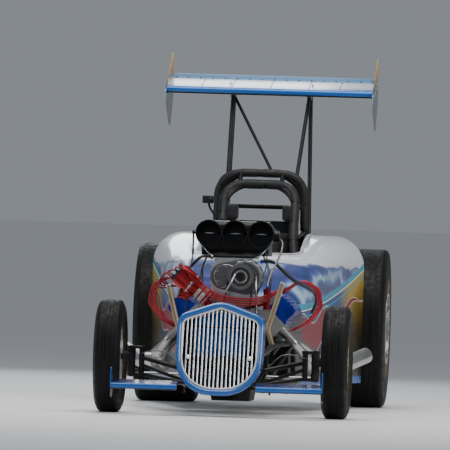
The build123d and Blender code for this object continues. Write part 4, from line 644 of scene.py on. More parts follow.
# %% [markdown]
# The rear wing is a riveted sheet over ribs. Lines of rivets run along the trailing edge and over each
# rib, and a small lip stands up at the very back. The photograph shows the rivets as a row of dots, so
# they are real domes here and not a bump. A squashed sphere with few faces is enough for each.

# %% Rear wing rivets and lip
RIVETS_ACROSS, RIVETS_ON_RIB = 17, 9
WING_NOSE_T = 0.046
WING_TAIL_T = 0.007
WING_UP = Vector(WING_FACING)
RIB_PLACES = (-0.40, -0.222, 0.0, 0.222, 0.40)


def wing_point(x, along, lift=0.0):
    """A point of the wing's upper skin, this far back from its leading edge."""
    skin = WING_NOSE_T + (WING_TAIL_T - WING_NOSE_T) * along / WING_CHORD
    return Vector((x, WING_LEAD[1], WING_LEAD[2])) + Vector(WING_WAY) * along + WING_UP * (skin + lift)


def block(shape, spot, size, edge=0, segments=4):
    """A box of a size at a turned place, with rounded edges where a radius is given."""
    corners = bmesh.ops.create_cube(shape, size=MM, matrix=spot @ Matrix.Diagonal((*size, 1)))["verts"]
    if edge:
        edges = list({e for v in corners for e in v.link_edges})
        bmesh.ops.bevel(shape, geom=edges, offset=edge * MM, segments=segments, affect="EDGES", profile=0.5,
                        material=-1)


def rivet(shape, place, way, radius, rise):
    """A domed head that stands on a surface."""
    spot = facing(place, way) @ Matrix.Diagonal((1, 1, rise / radius, 1))
    bmesh.ops.create_uvsphere(shape, u_segments=10, v_segments=6, radius=radius * MM, matrix=spot)


rivets = bmesh.new()
for i in range(RIVETS_ACROSS):
    rivet(rivets, wing_point(-0.576 + i * 0.072, 0.418), WING_UP, 6.5, 4.5)
for x in RIB_PLACES:
    for i in range(RIVETS_ON_RIB):
        rivet(rivets, wing_point(x, 0.045 + i * 0.042), WING_UP, 4.2, 2.2)
piece("wing_rivets", rivets, satin_black, "frame_black")

lip = bmesh.new()
lip_place = Matrix.Translation(wing_point(0, 0.4475, 0.009)) @ Matrix.Rotation(WING_TILT, 4, "X")
block(lip, lip_place, (1190, 2.5, 20))
piece("wing_lip", lip, rear_wing_paint, "blue_paint", smooth=False)
print("wing hardware made")

# %% [markdown]
# Behind the bars the shell is dark. A plain dark plate with the shell's own tilt stands a hand's breadth
# behind them, and it is what the eye sees between the bars: its near-black is painted shade for the recess,
# with a woven pattern on it. One face with the mouth's outline is enough, and solidify gives it its
# thickness.

# %% Grille screen
GRILLE_RAKE = radians(20)
GRILLE_FOOT = Vector((0, -2.420, 0.113))
GRILLE_UP = Vector((0, sin(GRILLE_RAKE), cos(GRILLE_RAKE)))
GRILLE_OUT = Vector((0, -cos(GRILLE_RAKE), sin(GRILLE_RAKE)))
SCREEN_BACK = 0.070


def grille_point(across, up, back):
    """A point in the shell's own tilted frame."""
    return GRILLE_FOOT + Vector((across, 0, 0)) + GRILLE_UP * up - GRILLE_OUT * back


screen_shade = Finish("grille_screen_painted_shade", 0.3, 0.5)
weave = screen_shade.math("MAXIMUM", *(screen_shade.wave(62.0, bands_direction=way) for way in ("X", "Z")))
sideways, along, height = screen_shade.parts()
# The middle of the screen is blue above its half height
in_middle = screen_shade.spread(screen_shade.math("ABSOLUTE", sideways), 0.165, 0.105)
blue_part = screen_shade.times(in_middle, screen_shade.spread(height, 0.30, 0.38))
# Near-black threads elsewhere: painted shade for the dark recess behind the bars
threads = screen_shade.mix(screen_shade.spread(weave, 0.45, 0.8), (0.002, 0.002, 0.003), (0.010, 0.012, 0.02))
screen_shade.feed("Base Color", screen_shade.mix(blue_part, threads, (0.008, 0.12, 0.46)))
screen_shade.relief(weave, 0.8, 0.003)

screen = bmesh.new()
outline = [(0.0, 0.505), (0.195, 0.445), (0.205, 0.280), (0.175, 0.070), (0.09, 0.030), (0, 0.022)]
outline += [(-across, up) for across, up in reversed(outline[1:-1])]
face = screen.faces.new([screen.verts.new(grille_point(across, up, SCREEN_BACK)) for across, up in outline])
bmesh.ops.recalc_face_normals(screen, faces=[face])
bmesh.ops.solidify(screen, geom=[face], thickness=0.003)
piece("grille_screen", screen, screen_shade.material, "frame_black", smooth=False)
print("grille screen made")

# %% [markdown]
# The bars carry a painted highlight on their fronts and painted shade on their sides. One finish does both:
# a ping-pong of the distance across the grille gives how far a point lies from the middle of its bar.

# %% Bar finish
BAR_PITCH = 0.0223
bar_light_and_shade = Finish("grille_bar_light_and_shade", 0.75, 0.20)
off_middle = bar_light_and_shade.math("PINGPONG", bar_light_and_shade.parts()["X"], BAR_PITCH / 2)
# White on each bar's front is painted highlight; near-black on its sides is painted shade
painted_front_highlight = bar_light_and_shade.spread(off_middle, 0.0040, 0.0028)
bar_light_and_shade.feed("Base Color", bar_light_and_shade.mix(painted_front_highlight, (0.018, 0.022, 0.030), (0.90, 0.91, 0.93)))
dress(bar_light_and_shade.material, "grille_bars")
print("bars finished at a pitch of", BAR_PITCH, "m")

# %% [markdown]
# A trim ring hides the bars' ends; its flat white is painted reflection that stands in for bright chrome. It
# could be a swept bmesh, but it is round all the way, so a closed curve with a round bevel does it. Its path
# is the mouth's outline, with true arcs for corners.

# %% Trim ring
RING_SINK = 0.0125
RING_R = 5.2
HALF_MOUTH = ((0.206, 0.4272, 0.047), (0.2042, 0.2368, 0.572), (0.1902, 0.0455, 0.172))
MOUTH_CORNERS = ((0.0, 0.5015, 0.014), *HALF_MOUTH, (0.0, 0.0395, 0.232),
                 *((-across, up, radius) for across, up, radius in reversed(HALF_MOUTH)))
# The ring's flat white is painted reflection for chrome trim; the dust on it is real
white_finish = Finish("trim_ring_painted_reflection", 0.0, 0.22, 0.6)
white_finish.feed("Base Color", white_finish.mix(white_finish.dust(0.3, 0.1), (0.86, 0.87, 0.89), DUST_COLOUR))


def arcs(corners, steps=8):
    """A closed outline with its corners turned into arcs, from rows of (across, up, radius)."""
    path = []
    for i, (across, up, radius) in enumerate(corners):
        corner = Vector((across, up, 0))
        into = (Vector((*corners[i - 1][:2], 0)) - corner).normalized()
        away = (Vector((*corners[(i + 1) % len(corners)][:2], 0)) - corner).normalized()
        half = into.angle(away) / 2
        centre = corner + (into + away).normalized() * radius / sin(half)
        reach = radius * cos(half) / sin(half)
        start, end = corner + into * reach - centre, corner + away * reach - centre
        path += [centre + start.slerp(end, k / steps) * radius for k in range(steps + 1)]
    return path


def hose(name, points, radius, finish, slot, cyclic=False):
    """A round line along a smooth curve through a few control points."""
    curve = bpy.data.curves.new(name, "CURVE")
    curve.dimensions = "3D"
    curve.bevel_depth = radius * MM
    curve.bevel_resolution = 4
    curve.use_fill_caps = True
    line = curve.splines.new("NURBS")
    line.points.add(len(points) - 1)
    for point, place in zip(line.points, points):
        point.co = (*place, 1)
    line.order_u = 3
    line.use_endpoint_u = not cyclic
    line.use_cyclic_u = cyclic
    line.resolution_u = 10
    return ride(link(bpy.data.objects.new(name, curve)), finish, slot, "chassis")


ring_foot = GRILLE_FOOT + Vector((0, RING_SINK, 0))
mouth = [ring_foot + Vector((point.x, 0, 0)) + GRILLE_UP * point.y for point in arcs(MOUTH_CORNERS)]
hose("grille_trim_ring", mouth, RING_R, white_finish.material, "chrome_trim", cyclic=True)
print("trim ring made through", len(mouth), "points")

# %% [markdown]
# Padding, belts and rods all follow a path. A path is a list of corners whose bends are rounded, and a
# ring of points is carried along it without twisting, each ring bridged to the next. A curve object with
# a bevel would do the same, but padding has ties and seams pressed into it, so the ring's radius is a
# function of the place on the path.

# %% Paths and tubes


def rounded(corners, bend, steps=8):
    """Corners joined by straight runs, with each bend rounded."""
    path = [corners[0]]
    for before, corner, after in zip(corners, corners[1:], corners[2:]):
        into, away = (before - corner).normalized(), (after - corner).normalized()
        cut = min(bend * MM, (before - corner).length / 2.1, (after - corner).length / 2.1)
        start, end = corner + into * cut, corner + away * cut
        for i in range(steps + 1):
            share = i / steps
            path.append(start.lerp(corner, share).lerp(corner.lerp(end, share), share))
    return [*path, corners[-1]]


def evenly(path, step):
    """The same path with points at even distances."""
    step *= MM
    places = [path[0].copy()]
    left = step
    for start, end in zip(path, path[1:]):
        run = (end - start).length
        done = 0.0
        while run - done >= left:
            done += left
            places.append(start.lerp(end, done / run))
            left = step
        left -= run - done
    return [*places, path[-1].copy()]


def sweep(shape, rows, ring=True, loop=False):
    """Bridges rows of points, each to the next. A row is a ring or an open line."""
    loops = []
    for row in rows:
        verts = [shape.verts.new(point) for point in row]
        loops.append([shape.edges.new(pair) for pair in zip(verts, verts[1:] + verts[:ring])])
    for low, high in zip(loops, loops[1:] + loops[:loop]):
        bmesh.ops.bridge_loops(shape, edges=low + high)
    return loops


def ways(path):
    """Each point of a path with the direction that the path has there."""
    for before, point, after in zip([path[0], *path], path, [*path[1:], path[-1]]):
        yield point, (after - before).normalized()


def tube(shape, path, radius, sides=16, caps=True):
    """A pipe along a path. The radius is a number or a function of the point's index and its angle."""
    rows = []
    normal = next(ways(path))[1].orthogonal()
    for i, (point, way) in enumerate(ways(path)):
        normal = (normal - way * normal.dot(way)).normalized()
        side = way.cross(normal)
        angles = [2 * pi * k / sides for k in range(sides)]
        reaches = [(radius(i, angle) if callable(radius) else radius) * MM for angle in angles]
        rows.append([point + (normal * cos(a) + side * sin(a)) * r for a, r in zip(angles, reaches)])
    loops = sweep(shape, rows)
    if caps:
        bmesh.ops.edgenet_fill(shape, edges=loops[0])
        bmesh.ops.edgenet_fill(shape, edges=loops[-1])


print("paths and tubes ready")

# %% [markdown]
# Cloth needs its own finishes: a woven cover with fine crossing threads for the cushions, a coarser
# weave for the belts, and a soft foam skin for the cage padding. Waves along the three axes cross to make
# the weave on a face of any direction, and a slow noise makes it fade and darken in patches.

# %% Fabric finishes


def woven(name, dark, light, threads, rough, depth=0.5, sheen=0.3):
    """A cloth with crossing threads and uneven fading."""
    made = Finish(name, 0.0, rough)
    made.shader.inputs["Sheen Weight"].default_value = sheen
    fine = {"Distortion": 0.3, "Detail": 1.0}
    first, second, third = (made.wave(threads, fine, bands_direction=way) for way in ("X", "Y", "Z"))
    weave = made.times(made.math("MAXIMUM", first, second), third)
    fade = made.noise(11.0, 5.0)
    made.feed("Base Color", made.mix(made.scaled(weave, 0.35, made.times(fade, 0.8)), dark, light))
    made.feed("Roughness", made.spread(fade, 0.3, 0.7, rough - 0.08, rough + 0.08))
    made.relief(weave, depth, 0.0006)
    return made.material


cushion_cloth = woven("cushion_cloth", (0.010, 0.010, 0.012), (0.045, 0.045, 0.050), 190.0, 0.78)
belt_web = woven("belt_webbing", (0.012, 0.012, 0.013), (0.055, 0.055, 0.058), 110.0, 0.7, depth=0.8)
pack_cloth = woven("pack_cloth", (0.012, 0.012, 0.014), (0.050, 0.050, 0.055), 95.0, 0.75, depth=0.7)
foam = Finish("cage_foam", 0.0, 0.62)
wear = foam.noise(14.0, 6.0)
foam.feed("Base Color", foam.mix(wear, (0.002, 0.002, 0.0025), (0.011, 0.011, 0.012)))
foam.feed("Roughness", foam.spread(wear, 0.3, 0.7, 0.5, 0.72))
pores = foam.add("TexVoronoi", {"Vector": foam.where, "Scale": 420.0}).outputs["Distance"]
foam.relief(pores, 0.25, 0.0008)
print("fabric finishes made")

# %% [markdown]
# The hoops of the cage carry thick foam sleeves along their upper parts. A sleeve could be a curve with
# a round bevel, but it is pulled in a little under each cable tie and has a seam where its edges meet. So
# it is a tube round the hoop's own line whose radius changes. The ties are small black bands with a block.

# %% Roll cage padding
FRONT_HOOP = ((-243.5, 2330, 780), (-206, 2430, 930), (-206, 2630, 1268),
              (206, 2630, 1268), (206, 2430, 930), (243.5, 2330, 780))
MAIN_HOOP = ((-250, 2720, 1010), (-250, 2720, 1332), (250, 2720, 1332), (250, 2720, 1010))
SLEEVE_R = 27.5
TIE_STEP = 9
TIE_HALF = 0.0022
TIE_PINCH, SEAM_DEPTH, END_STEP = 2.8, 2.2, 6


def sleeve(name, corners, bend, radius):
    """Foam round a hoop, with its ties."""
    path = evenly(rounded([at(*corner) for corner in corners], bend, 12), 14)
    last = len(path) - 1

    def thickness(i, angle):
        to_tie = abs((i + TIE_STEP // 2) % TIE_STEP - TIE_STEP // 2)
        pinch = TIE_PINCH * max(0.0, 1 - to_tie / 2.0)
        seam = SEAM_DEPTH * max(0.0, 1 - abs(angle - pi) * radius / 4)
        end = END_STEP if i in (0, last) else 0
        return radius - pinch - seam - end

    padding = bmesh.new()
    tube(padding, path, thickness, 28)
    piece(name, padding, foam.material, "grip")
    bands = bmesh.new()
    for i in range(TIE_STEP, last - 2, TIE_STEP):
        way = (path[i + 1] - path[i - 1]).normalized()
        tube(bands, [path[i] - way * TIE_HALF, path[i] + way * TIE_HALF], radius - 0.5, 28, caps=False)
        side = way.orthogonal().normalized()
        block(bands, facing(path[i] + side * radius * MM, side), (6, 6, 5))
    piece(name + "_ties", bands, satin_black, "frame_black", smooth=False, closed=False)


sleeve("front_hoop_padding", FRONT_HOOP, 135, SLEEVE_R)
sleeve("main_hoop_padding", MAIN_HOOP, 155, SLEEVE_R - 3)
print("cage padding made")

# %% [markdown]
# Cushions are swollen by a cloth simulation. A bevelled block, a little smaller than the space the CAD
# model keeps for it, is remeshed into even squares, and air pressure pushes it out until the cover is
# tight. Each point may move only so far, so the cushion stays in its space. The sewn channels come after
# the simulation, because they are narrower than one square of the remesh.

# %% Cushion helpers
PRESSURE = 4.0
SWELL_FRAMES = 20
CHANNEL_HALF = 0.011


def evaluated(mesh, kind, set_up):
    """The mesh after one modifier, which a function sets up."""
    temp = link(bpy.data.objects.new("cushion_work", mesh))
    set_up(temp.modifiers.new("work", kind))
    graph = bpy.context.evaluated_depsgraph_get()
    result = bpy.data.meshes.new_from_object(temp.evaluated_get(graph))
    bpy.data.objects.remove(temp)
    return result


def swell(cloth):
    """Lets air pressure work on a cover for a few frames."""
    cloth.settings.use_pressure = True
    cloth.settings.uniform_pressure_force = PRESSURE
    cloth.settings.effector_weights.gravity = 0.0
    cloth.point_cache.frame_end = SWELL_FRAMES
    for step in range(1, SWELL_FRAMES + 1):
        bpy.context.scene.frame_set(step)


def swollen(mesh, cap):
    """The mesh blown up like a stuffed cover, with no point moved further than the cap."""
    start = [vert.co.copy() for vert in mesh.vertices]
    result = evaluated(mesh, "CLOTH", swell)
    bpy.context.scene.frame_set(1)
    for vert, old in zip(result.vertices, start):
        moved = vert.co - old
        if moved.length > cap:
            vert.co = old + moved.normalized() * cap
    return result


def cushion(name, low, high, shear, cloth, slot, channels, cap=0.008, voxel=0.006, soft_r=16):
    """A stuffed cushion between two corners. Shear moves it along Y with height."""
    low, high = Vector(low), Vector(high)
    size = high - low
    shape = bmesh.new()
    block(shape, Matrix.Translation((low + high) / 2), size / MM, soft_r)
    mesh = bpy.data.meshes.new(name)
    shape.to_mesh(mesh)
    shape.free()

    def to_squares(modifier):
        modifier.mode = "VOXEL"
        modifier.voxel_size = voxel

    mesh = evaluated(mesh, "REMESH", to_squares)
    mesh = swollen(mesh, cap)
    shape = bmesh.new()
    shape.from_mesh(mesh)
    thin = min(range(3), key=lambda axis: size[axis])
    middle = (low[thin] + high[thin]) / 2
    for vert in shape.verts:
        dent = 0.0
        for axis, places, depth in channels:
            near = min(abs(vert.co[axis] - place) for place in places)
            dent = max(dent, depth * max(0.0, 1 - near / CHANNEL_HALF) ** 1.5)
        vert.co[thin] += dent * (1 if vert.co[thin] < middle else -1)
        vert.co.y += (vert.co.z - low[2]) * shear
    bmesh.ops.smooth_vert(
        shape, verts=shape.verts, factor=0.5, use_axis_x=True, use_axis_y=True, use_axis_z=True)
    stuffed = piece(name, shape, cloth, slot)
    return stuffed


print("cushions swell for", SWELL_FRAMES, "frames, unless the render is quick")

# %% [markdown]
# The seat has a base cushion and a tall back cushion, both with sewn channels. Two small pads stand on
# the cage's cross bar, one each side. The base could be one block with the back, but real ones are apart
# so that they can be taken out.

# %% Seat cushions and head pads
BASE_LOW_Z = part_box("seat_pads")[0][2]
SEAT_BASE_TOP = BASE_LOW_Z + 0.046
SEAM_X = (-0.105, -0.035, 0.035, 0.105)
SEAM_Z = (0.60, 0.67, 0.74, 0.81, 0.88, 0.95)
BACK_LEAN = 0.132
BACK_LOW = (-0.170, 0.640, 0.534)

seat_base = cushion("seat_base_cushion", (-0.176, aft(2.222), BASE_LOW_Z + 0.003),
                    (0.176, aft(2.583), SEAT_BASE_TOP - 0.003), 0.0,
                    cushion_cloth, "seat_cloth", [(0, SEAM_X, 0.006)], cap=0.006)
seat_back = cushion("seat_back_cushion", BACK_LOW, (0.170, 0.679, 0.996), BACK_LEAN,
                    cushion_cloth, "seat_cloth", [(2, SEAM_Z, 0.005)], cap=0.005)
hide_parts("seat_pads")
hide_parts("seat_pads")
for sign, side in ((1, "left"), (-1, "right")):
    inner, outer = sorted((sign * 0.125, sign * 0.215))
    cushion(f"head_pad_{side}", (inner, aft(2.655), 1.060), (outer, aft(2.703), 1.150), 0.0,
            cushion_cloth, "seat_cloth", [], cap=0.005, voxel=0.005, soft_r=20)
print("seat cushions made")

# %% [markdown]
# A five point harness lies on the cushions: two wide shoulder belts that come through the seat's back,
# two lap belts from the seat's sides and one from its front, all into one round buckle. Belts could be
# thin planes made thick, but a section carried along a path also gives them their rolled woven edge.

# %% Harness belts
STRAP_SECTION = ((-1, -1), (-0.94, -0.2), (-0.94, 0.2), (-1, 1), (-0.86, 1.15), (0.86, 1.15))
BUCKLE = Vector((0, 0.500, 0.545))


def back_face(z, off=0.0):
    """Y of the back cushion's front at a height."""
    return BACK_LOW[1] + (z - BACK_LOW[2]) * BACK_LEAN - off


def strap(shape, path, across, width, thick):
    """A flat belt along a path, its width along one direction."""
    across = Vector(across).normalized()
    section = [*STRAP_SECTION, *((-u, -v) for u, v in STRAP_SECTION)]
    rows = []
    for point, way in ways(path):
        side = (across - way * across.dot(way)).normalized()
        face = side.cross(way)
        rows.append([point + (side * u * width + face * v * thick) * MM / 2 for u, v in section])
    loops = sweep(shape, rows)
    bmesh.ops.edgenet_fill(shape, edges=loops[0])
    bmesh.ops.edgenet_fill(shape, edges=loops[-1])


belts = bmesh.new()
for x in (-0.072, 0.072):
    run = [(x * 0.85, back_face(0.99, -0.020), 1.012), (x * 0.85, back_face(0.99, 0.012), 1.004),
           (x, back_face(0.93, 0.012), 0.930), (x, back_face(0.72, 0.012), 0.720),
           (x * 0.8, back_face(0.60, 0.030), 0.600), (x * 0.35, BUCKLE.y + 0.020, BUCKLE.z + 0.014)]
    strap(belts, evenly(rounded([Vector(p) for p in run], 50), 12), (1, 0, 0), 74, 2.8)
for sign in (-1, 1):
    run = [(sign * 0.192, 0.560, 0.498), (sign * 0.150, 0.535, 0.512), (sign * 0.085, 0.510, 0.530),
           (sign * 0.020, BUCKLE.y, BUCKLE.z + 0.002)]
    strap(belts, evenly(rounded([Vector(p) for p in run], 50), 10), (0, 1, 0.45), 70, 2.8)
run = [(0, 0.330, SEAT_BASE_TOP + 0.005), (0, 0.430, SEAT_BASE_TOP + 0.010),
       (0, BUCKLE.y - 0.012, BUCKLE.z - 0.004)]
strap(belts, evenly(rounded([Vector(p) for p in run], 40), 10), (1, 0, 0), 48, 2.6)
piece("harness_belts", belts, belt_web, "seat_cloth")
print("harness belts made")

# %% [markdown]
# The round buckle is a profile spun about its axis, and each shoulder belt has a flat slide. Spin makes
# such round parts in one step, and its doubles are merged so that the poles are closed.

# %% Harness buckles


def turn(shape, rows, place, way, steps=40):
    """A turned shape from rows of (along the axis, radius)."""
    before = set(shape.verts)
    corners = [shape.verts.new((radius * MM, 0, along * MM)) for along, radius in rows]
    edges = [shape.edges.new(pair) for pair in zip(corners, corners[1:])]
    bmesh.ops.spin(shape, geom=corners + edges, cent=(0, 0, 0), axis=(0, 0, 1), angle=2 * pi, steps=steps,
                   use_merge=True)
    bmesh.ops.remove_doubles(shape, verts=[v for v in shape.verts if v not in before], dist=0.00001)
    bmesh.ops.transform(shape, matrix=facing(place, way), verts=[v for v in shape.verts if v not in before])


buckles = bmesh.new()
turn(buckles, [(0, 0), (0, 30), (6, 34), (12, 31), (16, 22), (17, 0)], BUCKLE + Vector((0, -0.002, 0.006)),
     (0, -0.55, 0.83), 36)
for x in (-0.070, 0.070):
    spot = Matrix.Translation((x, back_face(0.80, 0.016), 0.800)) @ Matrix.Rotation(-0.13, 4, "X")
    block(buckles, spot, (86, 4, 34), 1.6, 2)
piece("harness_buckles", buckles, bright, "steel")
print("harness buckles made")

# %% [markdown]
# The parachute is packed in a cloth bag on the tail. It is stuffed like a cushion, its four end flaps are
# closed by a pin, and two webbing straps hold it on the deck.

# %% Parachute pack
pack_low, pack_high = (Vector(corner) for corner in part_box("parachute_pack"))
inset = Vector((0.006, 0.006, 0.006))
pack = cushion("parachute_bag", pack_low + inset, pack_high - inset, 0.0, pack_cloth, "pack_cloth", [],
               cap=0.007, soft_r=34)
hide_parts("parachute_pack")

straps = bmesh.new()
front, back = pack_low.y + 0.006, pack_high.y - 0.0005
for x in (-0.070, 0.070):
    ring = [Vector(p) for p in ((x, front, pack_low.z + 0.0005), (x, back, pack_low.z + 0.002),
                                (x, back, pack_high.z - 0.002), (x, front, pack_high.z - 0.0005))]
    strap(straps, evenly(rounded(ring, 46), 8), (1, 0, 0), 44, 3)
piece("pack_straps", straps, belt_web, "pack_cloth")

middle = (pack_low + pack_high) / 2
pin = Vector((middle.x, pack_high.y + 0.001, middle.z))
seams = bmesh.new()
for sign_x in (-1, 1):
    for sign_z in (-1, 1):
        tube(seams, evenly([pin, pin + Vector((sign_x * 0.088, -0.003, sign_z * 0.052))], 10), 2.2, 8)
turn(seams, [(0, 0), (0, 10), (3, 11), (4, 6), (4, 0)], pin, (0, 1, 0), 20)
piece("pack_seams", seams, belt_web, "pack_cloth")
print("parachute pack made")

# %% [markdown]
# The front of the blower is what the eye meets first between the hat and the grille. A scalloped arch
# stands on the gear cover, with a lobe for each of its nuts. It could be cut from a plate, but an outline
# whose radius rises at each lobe, bridged row by row, gives its bevelled edge as well.

# %% Blower arch and its bolts
FORWARD = Vector((0, -1, 0))
DRIVE_AXIS = Vector((0.052, 0, 0.750))
ARCH_CENTRE = Vector((0.072, 0, 0.750))
CAP_CENTRE = Vector((-0.036, 0, 0.750))
CRANK_AXIS = Vector((0, 0, 0.300))
COVER_FACE = aft(0.534)
CAP_FACE = aft(0.518)
PULLEY_FACE = aft(0.414)
ARCH_RISE = 9
ARCH_FIRST, ARCH_TURN, ARCH_STEPS = -70, 224, 120
FIRST_LOBE, LOBE_STEP, LOBES = -62, 26, 9
LOBE_HALF = 0.16
# Rows round the arch's section: radius, how much a lobe adds, rise over the cover
ARCH_SECTION = ((88.5, 8.5, 0), (88.5, 8.5, 7), (86.5, 8.5, ARCH_RISE), (77, -1.5, ARCH_RISE),
                (75, -1.5, 7), (75, -1.5, 0))


def around(centre, angle, radius, y):
    """A point at an angle round a centre, on a plane across the car."""
    return Vector((centre.x + radius * MM * cos(angle), y, centre.z + radius * MM * sin(angle)))


def lobe(angle):
    """How far a lobe rises at an angle, from 0 to 1."""
    nearest = min(abs(angle - radians(FIRST_LOBE + LOBE_STEP * i)) for i in range(LOBES))
    return max(0.0, 1 - nearest / LOBE_HALF)


def nut(shape, place, way, radius, rise):
    """A hexagon nut on a thin washer."""
    spot = facing(place, way)
    lifted = spot @ Matrix.Translation((0, 0, rise * MM / 2))
    for sides, low, high, depth, where in ((14, 1.45, 1.45, 0.3, spot), (6, 1.1, 1.0, 1.0, lifted)):
        bmesh.ops.create_cone(shape, cap_ends=True, segments=sides, radius1=radius * low * MM,
                              radius2=radius * high * MM, depth=rise * depth * MM, matrix=where)


arch = bmesh.new()
arch_angles = [radians(ARCH_FIRST + ARCH_TURN * i / ARCH_STEPS) for i in range(ARCH_STEPS + 1)]
sweep(arch, [[around(ARCH_CENTRE, angle, radius + gain * lobe(angle), COVER_FACE - rise * MM)
              for angle in arch_angles] for radius, gain, rise in ARCH_SECTION], ring=False, loop=True)
bmesh.ops.holes_fill(arch, edges=arch.edges)
piece("cover_arch", arch, cast, "cast_alloy", smooth=False)

front_bolts = bmesh.new()
# Circles of nuts: centre, first angle, step, count, radius of the circle, plane, nut
for centre, first, step, count, ring, plane, size in (
    (ARCH_CENTRE, FIRST_LOBE, LOBE_STEP, LOBES, 85, COVER_FACE - ARCH_RISE * MM, (5.8, 6)),
    (CAP_CENTRE, 30, 60, 6, 54, CAP_FACE, (3.6, 3)),
    (DRIVE_AXIS, 18, 72, 5, 32, PULLEY_FACE - 3 * MM, (3, 3.2)),
    (CRANK_AXIS, 0, 60, 6, 46, PULLEY_FACE, (5.5, 6)),
):
    for i in range(count):
        nut(front_bolts, around(centre, radians(first + step * i), ring, plane), FORWARD, *size)
for x, z in ((-100, 838), (0, 846), (100, 838), (-105, 650), (105, 650)):
    nut(front_bolts, at(x, 572, z), FORWARD, 5.5, 6)
piece("front_bolts", front_bolts, machined, "steel", smooth=False)
print("blower arch made with", LOBES, "lobes")

# %% [markdown]
# The pulley carries a bronze ring, a bright ring and a black hub, the belt has low teeth on its outside,
# and a throttle shaft with two screws crosses each mouth of the hat. All but the teeth are round, so each
# is a profile that is spun about its axis.

# %% Pulley rings, belt teeth and throttle shafts
THROTTLE_PLACE = (aft(0.655), 0.985)
THROTTLE_LONG, THROTTLE_R = 126, 6.6
TEETH = 26


def turned(name, finish, slot, *shapes, **more):
    """One piece from turned shapes, each a row of (profile, place, way, steps)."""
    shape = bmesh.new()
    for profile, place, way, steps in shapes:
        turn(shape, profile, place, way, steps)
    return piece(name, shape, finish, slot, **more)


pulley = Vector((DRIVE_AXIS.x, PULLEY_FACE, DRIVE_AXIS.z))
bronze = worked_finish(
    "pulley_bronze", (0.075, 0.062, 0.042), (0.17, 0.145, 0.10), 0.85, 0.42, scale=140, dust=0.0)
turned("pulley_ring", bronze, "cast_alloy",
       ([(0, 50.5), (3.5, 50), (4.2, 48), (4.2, 40), (2, 38.5), (0, 38)], pulley, FORWARD, 56))
cap_edge = Vector((CAP_CENTRE.x, CAP_FACE + 1.6 * MM, CAP_CENTRE.z))
turned("bright_rings", bright, "polished_alloy",
       ([(0, 37.5), (2.5, 37), (3, 35), (3, 27), (0, 26)], pulley, FORWARD, 48),
       ([(0, 60), (1.6, 59), (1.6, 64), (0, 65)], cap_edge, FORWARD, 64))
turned("pulley_hub_cap", engine_black, "engine_black", (
    [(0, 23.2), (4, 23.2), (5.5, 21.5), (5.5, 12), (3, 11), (3, 6), (7.5, 5.5), (8, 0)],
    (DRIVE_AXIS.x, aft(0.3923), DRIVE_AXIS.z), FORWARD, 32))

teeth = bmesh.new()
for i in range(TEETH):
    share = i / (TEETH - 1)
    for sign, top_x, low_x in ((1, 0.1213, 0.0864), (-1, -0.0173, -0.0864)):
        x = top_x + (low_x - top_x) * share - sign * 4 * MM
        spot = Matrix.Translation((x, aft(0.438), 0.745 - 0.435 * share))
        block(teeth, spot @ Matrix.Rotation(sign * 0.08, 4, "Y"), (4, 69, 6))
piece("belt_teeth", teeth, belt_rubber, "belt_rubber", smooth=False)

throttles = bmesh.new()
for x in (-0.144, 0.0, 0.144):
    rod = [(0, 0), (0, THROTTLE_R), (THROTTLE_LONG, THROTTLE_R), (THROTTLE_LONG, 0)]
    turn(throttles, rod, (x - THROTTLE_LONG * MM / 2, *THROTTLE_PLACE), (1, 0, 0), 16)
    for reach in (-0.022, 0.022):
        screw = Vector((x + reach, THROTTLE_PLACE[0] - 6.2 * MM, THROTTLE_PLACE[1]))
        rivet(throttles, screw, FORWARD, 4, 2.5)
piece("throttle_shafts", throttles, machined, "steel")
print("blower front made")

# %% [markdown]
# The magneto's cap has a black lid and eight terminals, and the can below it carries two bare white
# bands. Both lean, so their details are spun about the magneto's own two directions and set round them
# by turning one sideways direction step by step.

# %% Magneto
MAG_NECK = at(-205, 455, 688)
MAG_TOP = at(-288, 455, 758)
MAG_FOOT = at(-122, 455, 618)
MAG_WAY = (MAG_TOP - MAG_NECK).normalized()
LOW_WAY = (MAG_NECK - MAG_FOOT).normalized()


def spokes(way, count, start=0.0):
    """Directions evenly round an axis."""
    for i in range(count):
        side = way.orthogonal().normalized()
        side.rotate(Matrix.Rotation(2 * pi * i / count + start, 3, way))
        yield side


white_finish = Finish("white_band", 0.0, 0.35)
smudge = white_finish.noise(90.0, 4.0)
white_finish.feed("Base Color", white_finish.mix(smudge, (0.42, 0.42, 0.41), (0.78, 0.78, 0.77)))
white_finish.relief(smudge, 0.05, 0.0005)
turned("can_bands", white_finish.material, "ignition_red", *(
    ([(0, 44), (0.4, 44.6), (width - 0.4, 44.6), (width, 44)], MAG_FOOT + LOW_WAY * along * MM, LOW_WAY, 48)
    for along, width in ((30, 22), (62, 18))))

trim = bmesh.new()
turn(trim, [(0, 44), (1, 47), (6, 47.5), (7, 44)], MAG_FOOT + LOW_WAY * 0.010, LOW_WAY, 48)
turn(trim, [(0, 62), (1, 64.5), (9, 64.5), (10, 62)], MAG_NECK + MAG_WAY * 0.012, MAG_WAY, 48)
for side in spokes(MAG_WAY, 6):
    nut(trim, MAG_NECK + MAG_WAY * 0.022 + side * 0.0635, side, 3.8, 3.6)
piece("magneto_trim", trim, machined, "steel")

lid = bmesh.new()
turn(lid, [(0, 58), (4, 57.5), (10, 50), (13, 36), (14, 0)], MAG_TOP + MAG_WAY * 0.0002, MAG_WAY, 48)
terminals = []
for side in spokes(MAG_WAY, 8, 0.2):
    foot = MAG_TOP + MAG_WAY * 0.004 + side * 0.042
    turn(lid, [(0, 8.5), (16, 7.5), (18, 6.2), (18, 0)], foot, MAG_WAY, 16)
    terminals.append(foot + MAG_WAY * 0.018)
piece("magneto_lid", lid, engine_black, "engine_black")
print("magneto made with", len(terminals), "terminals")

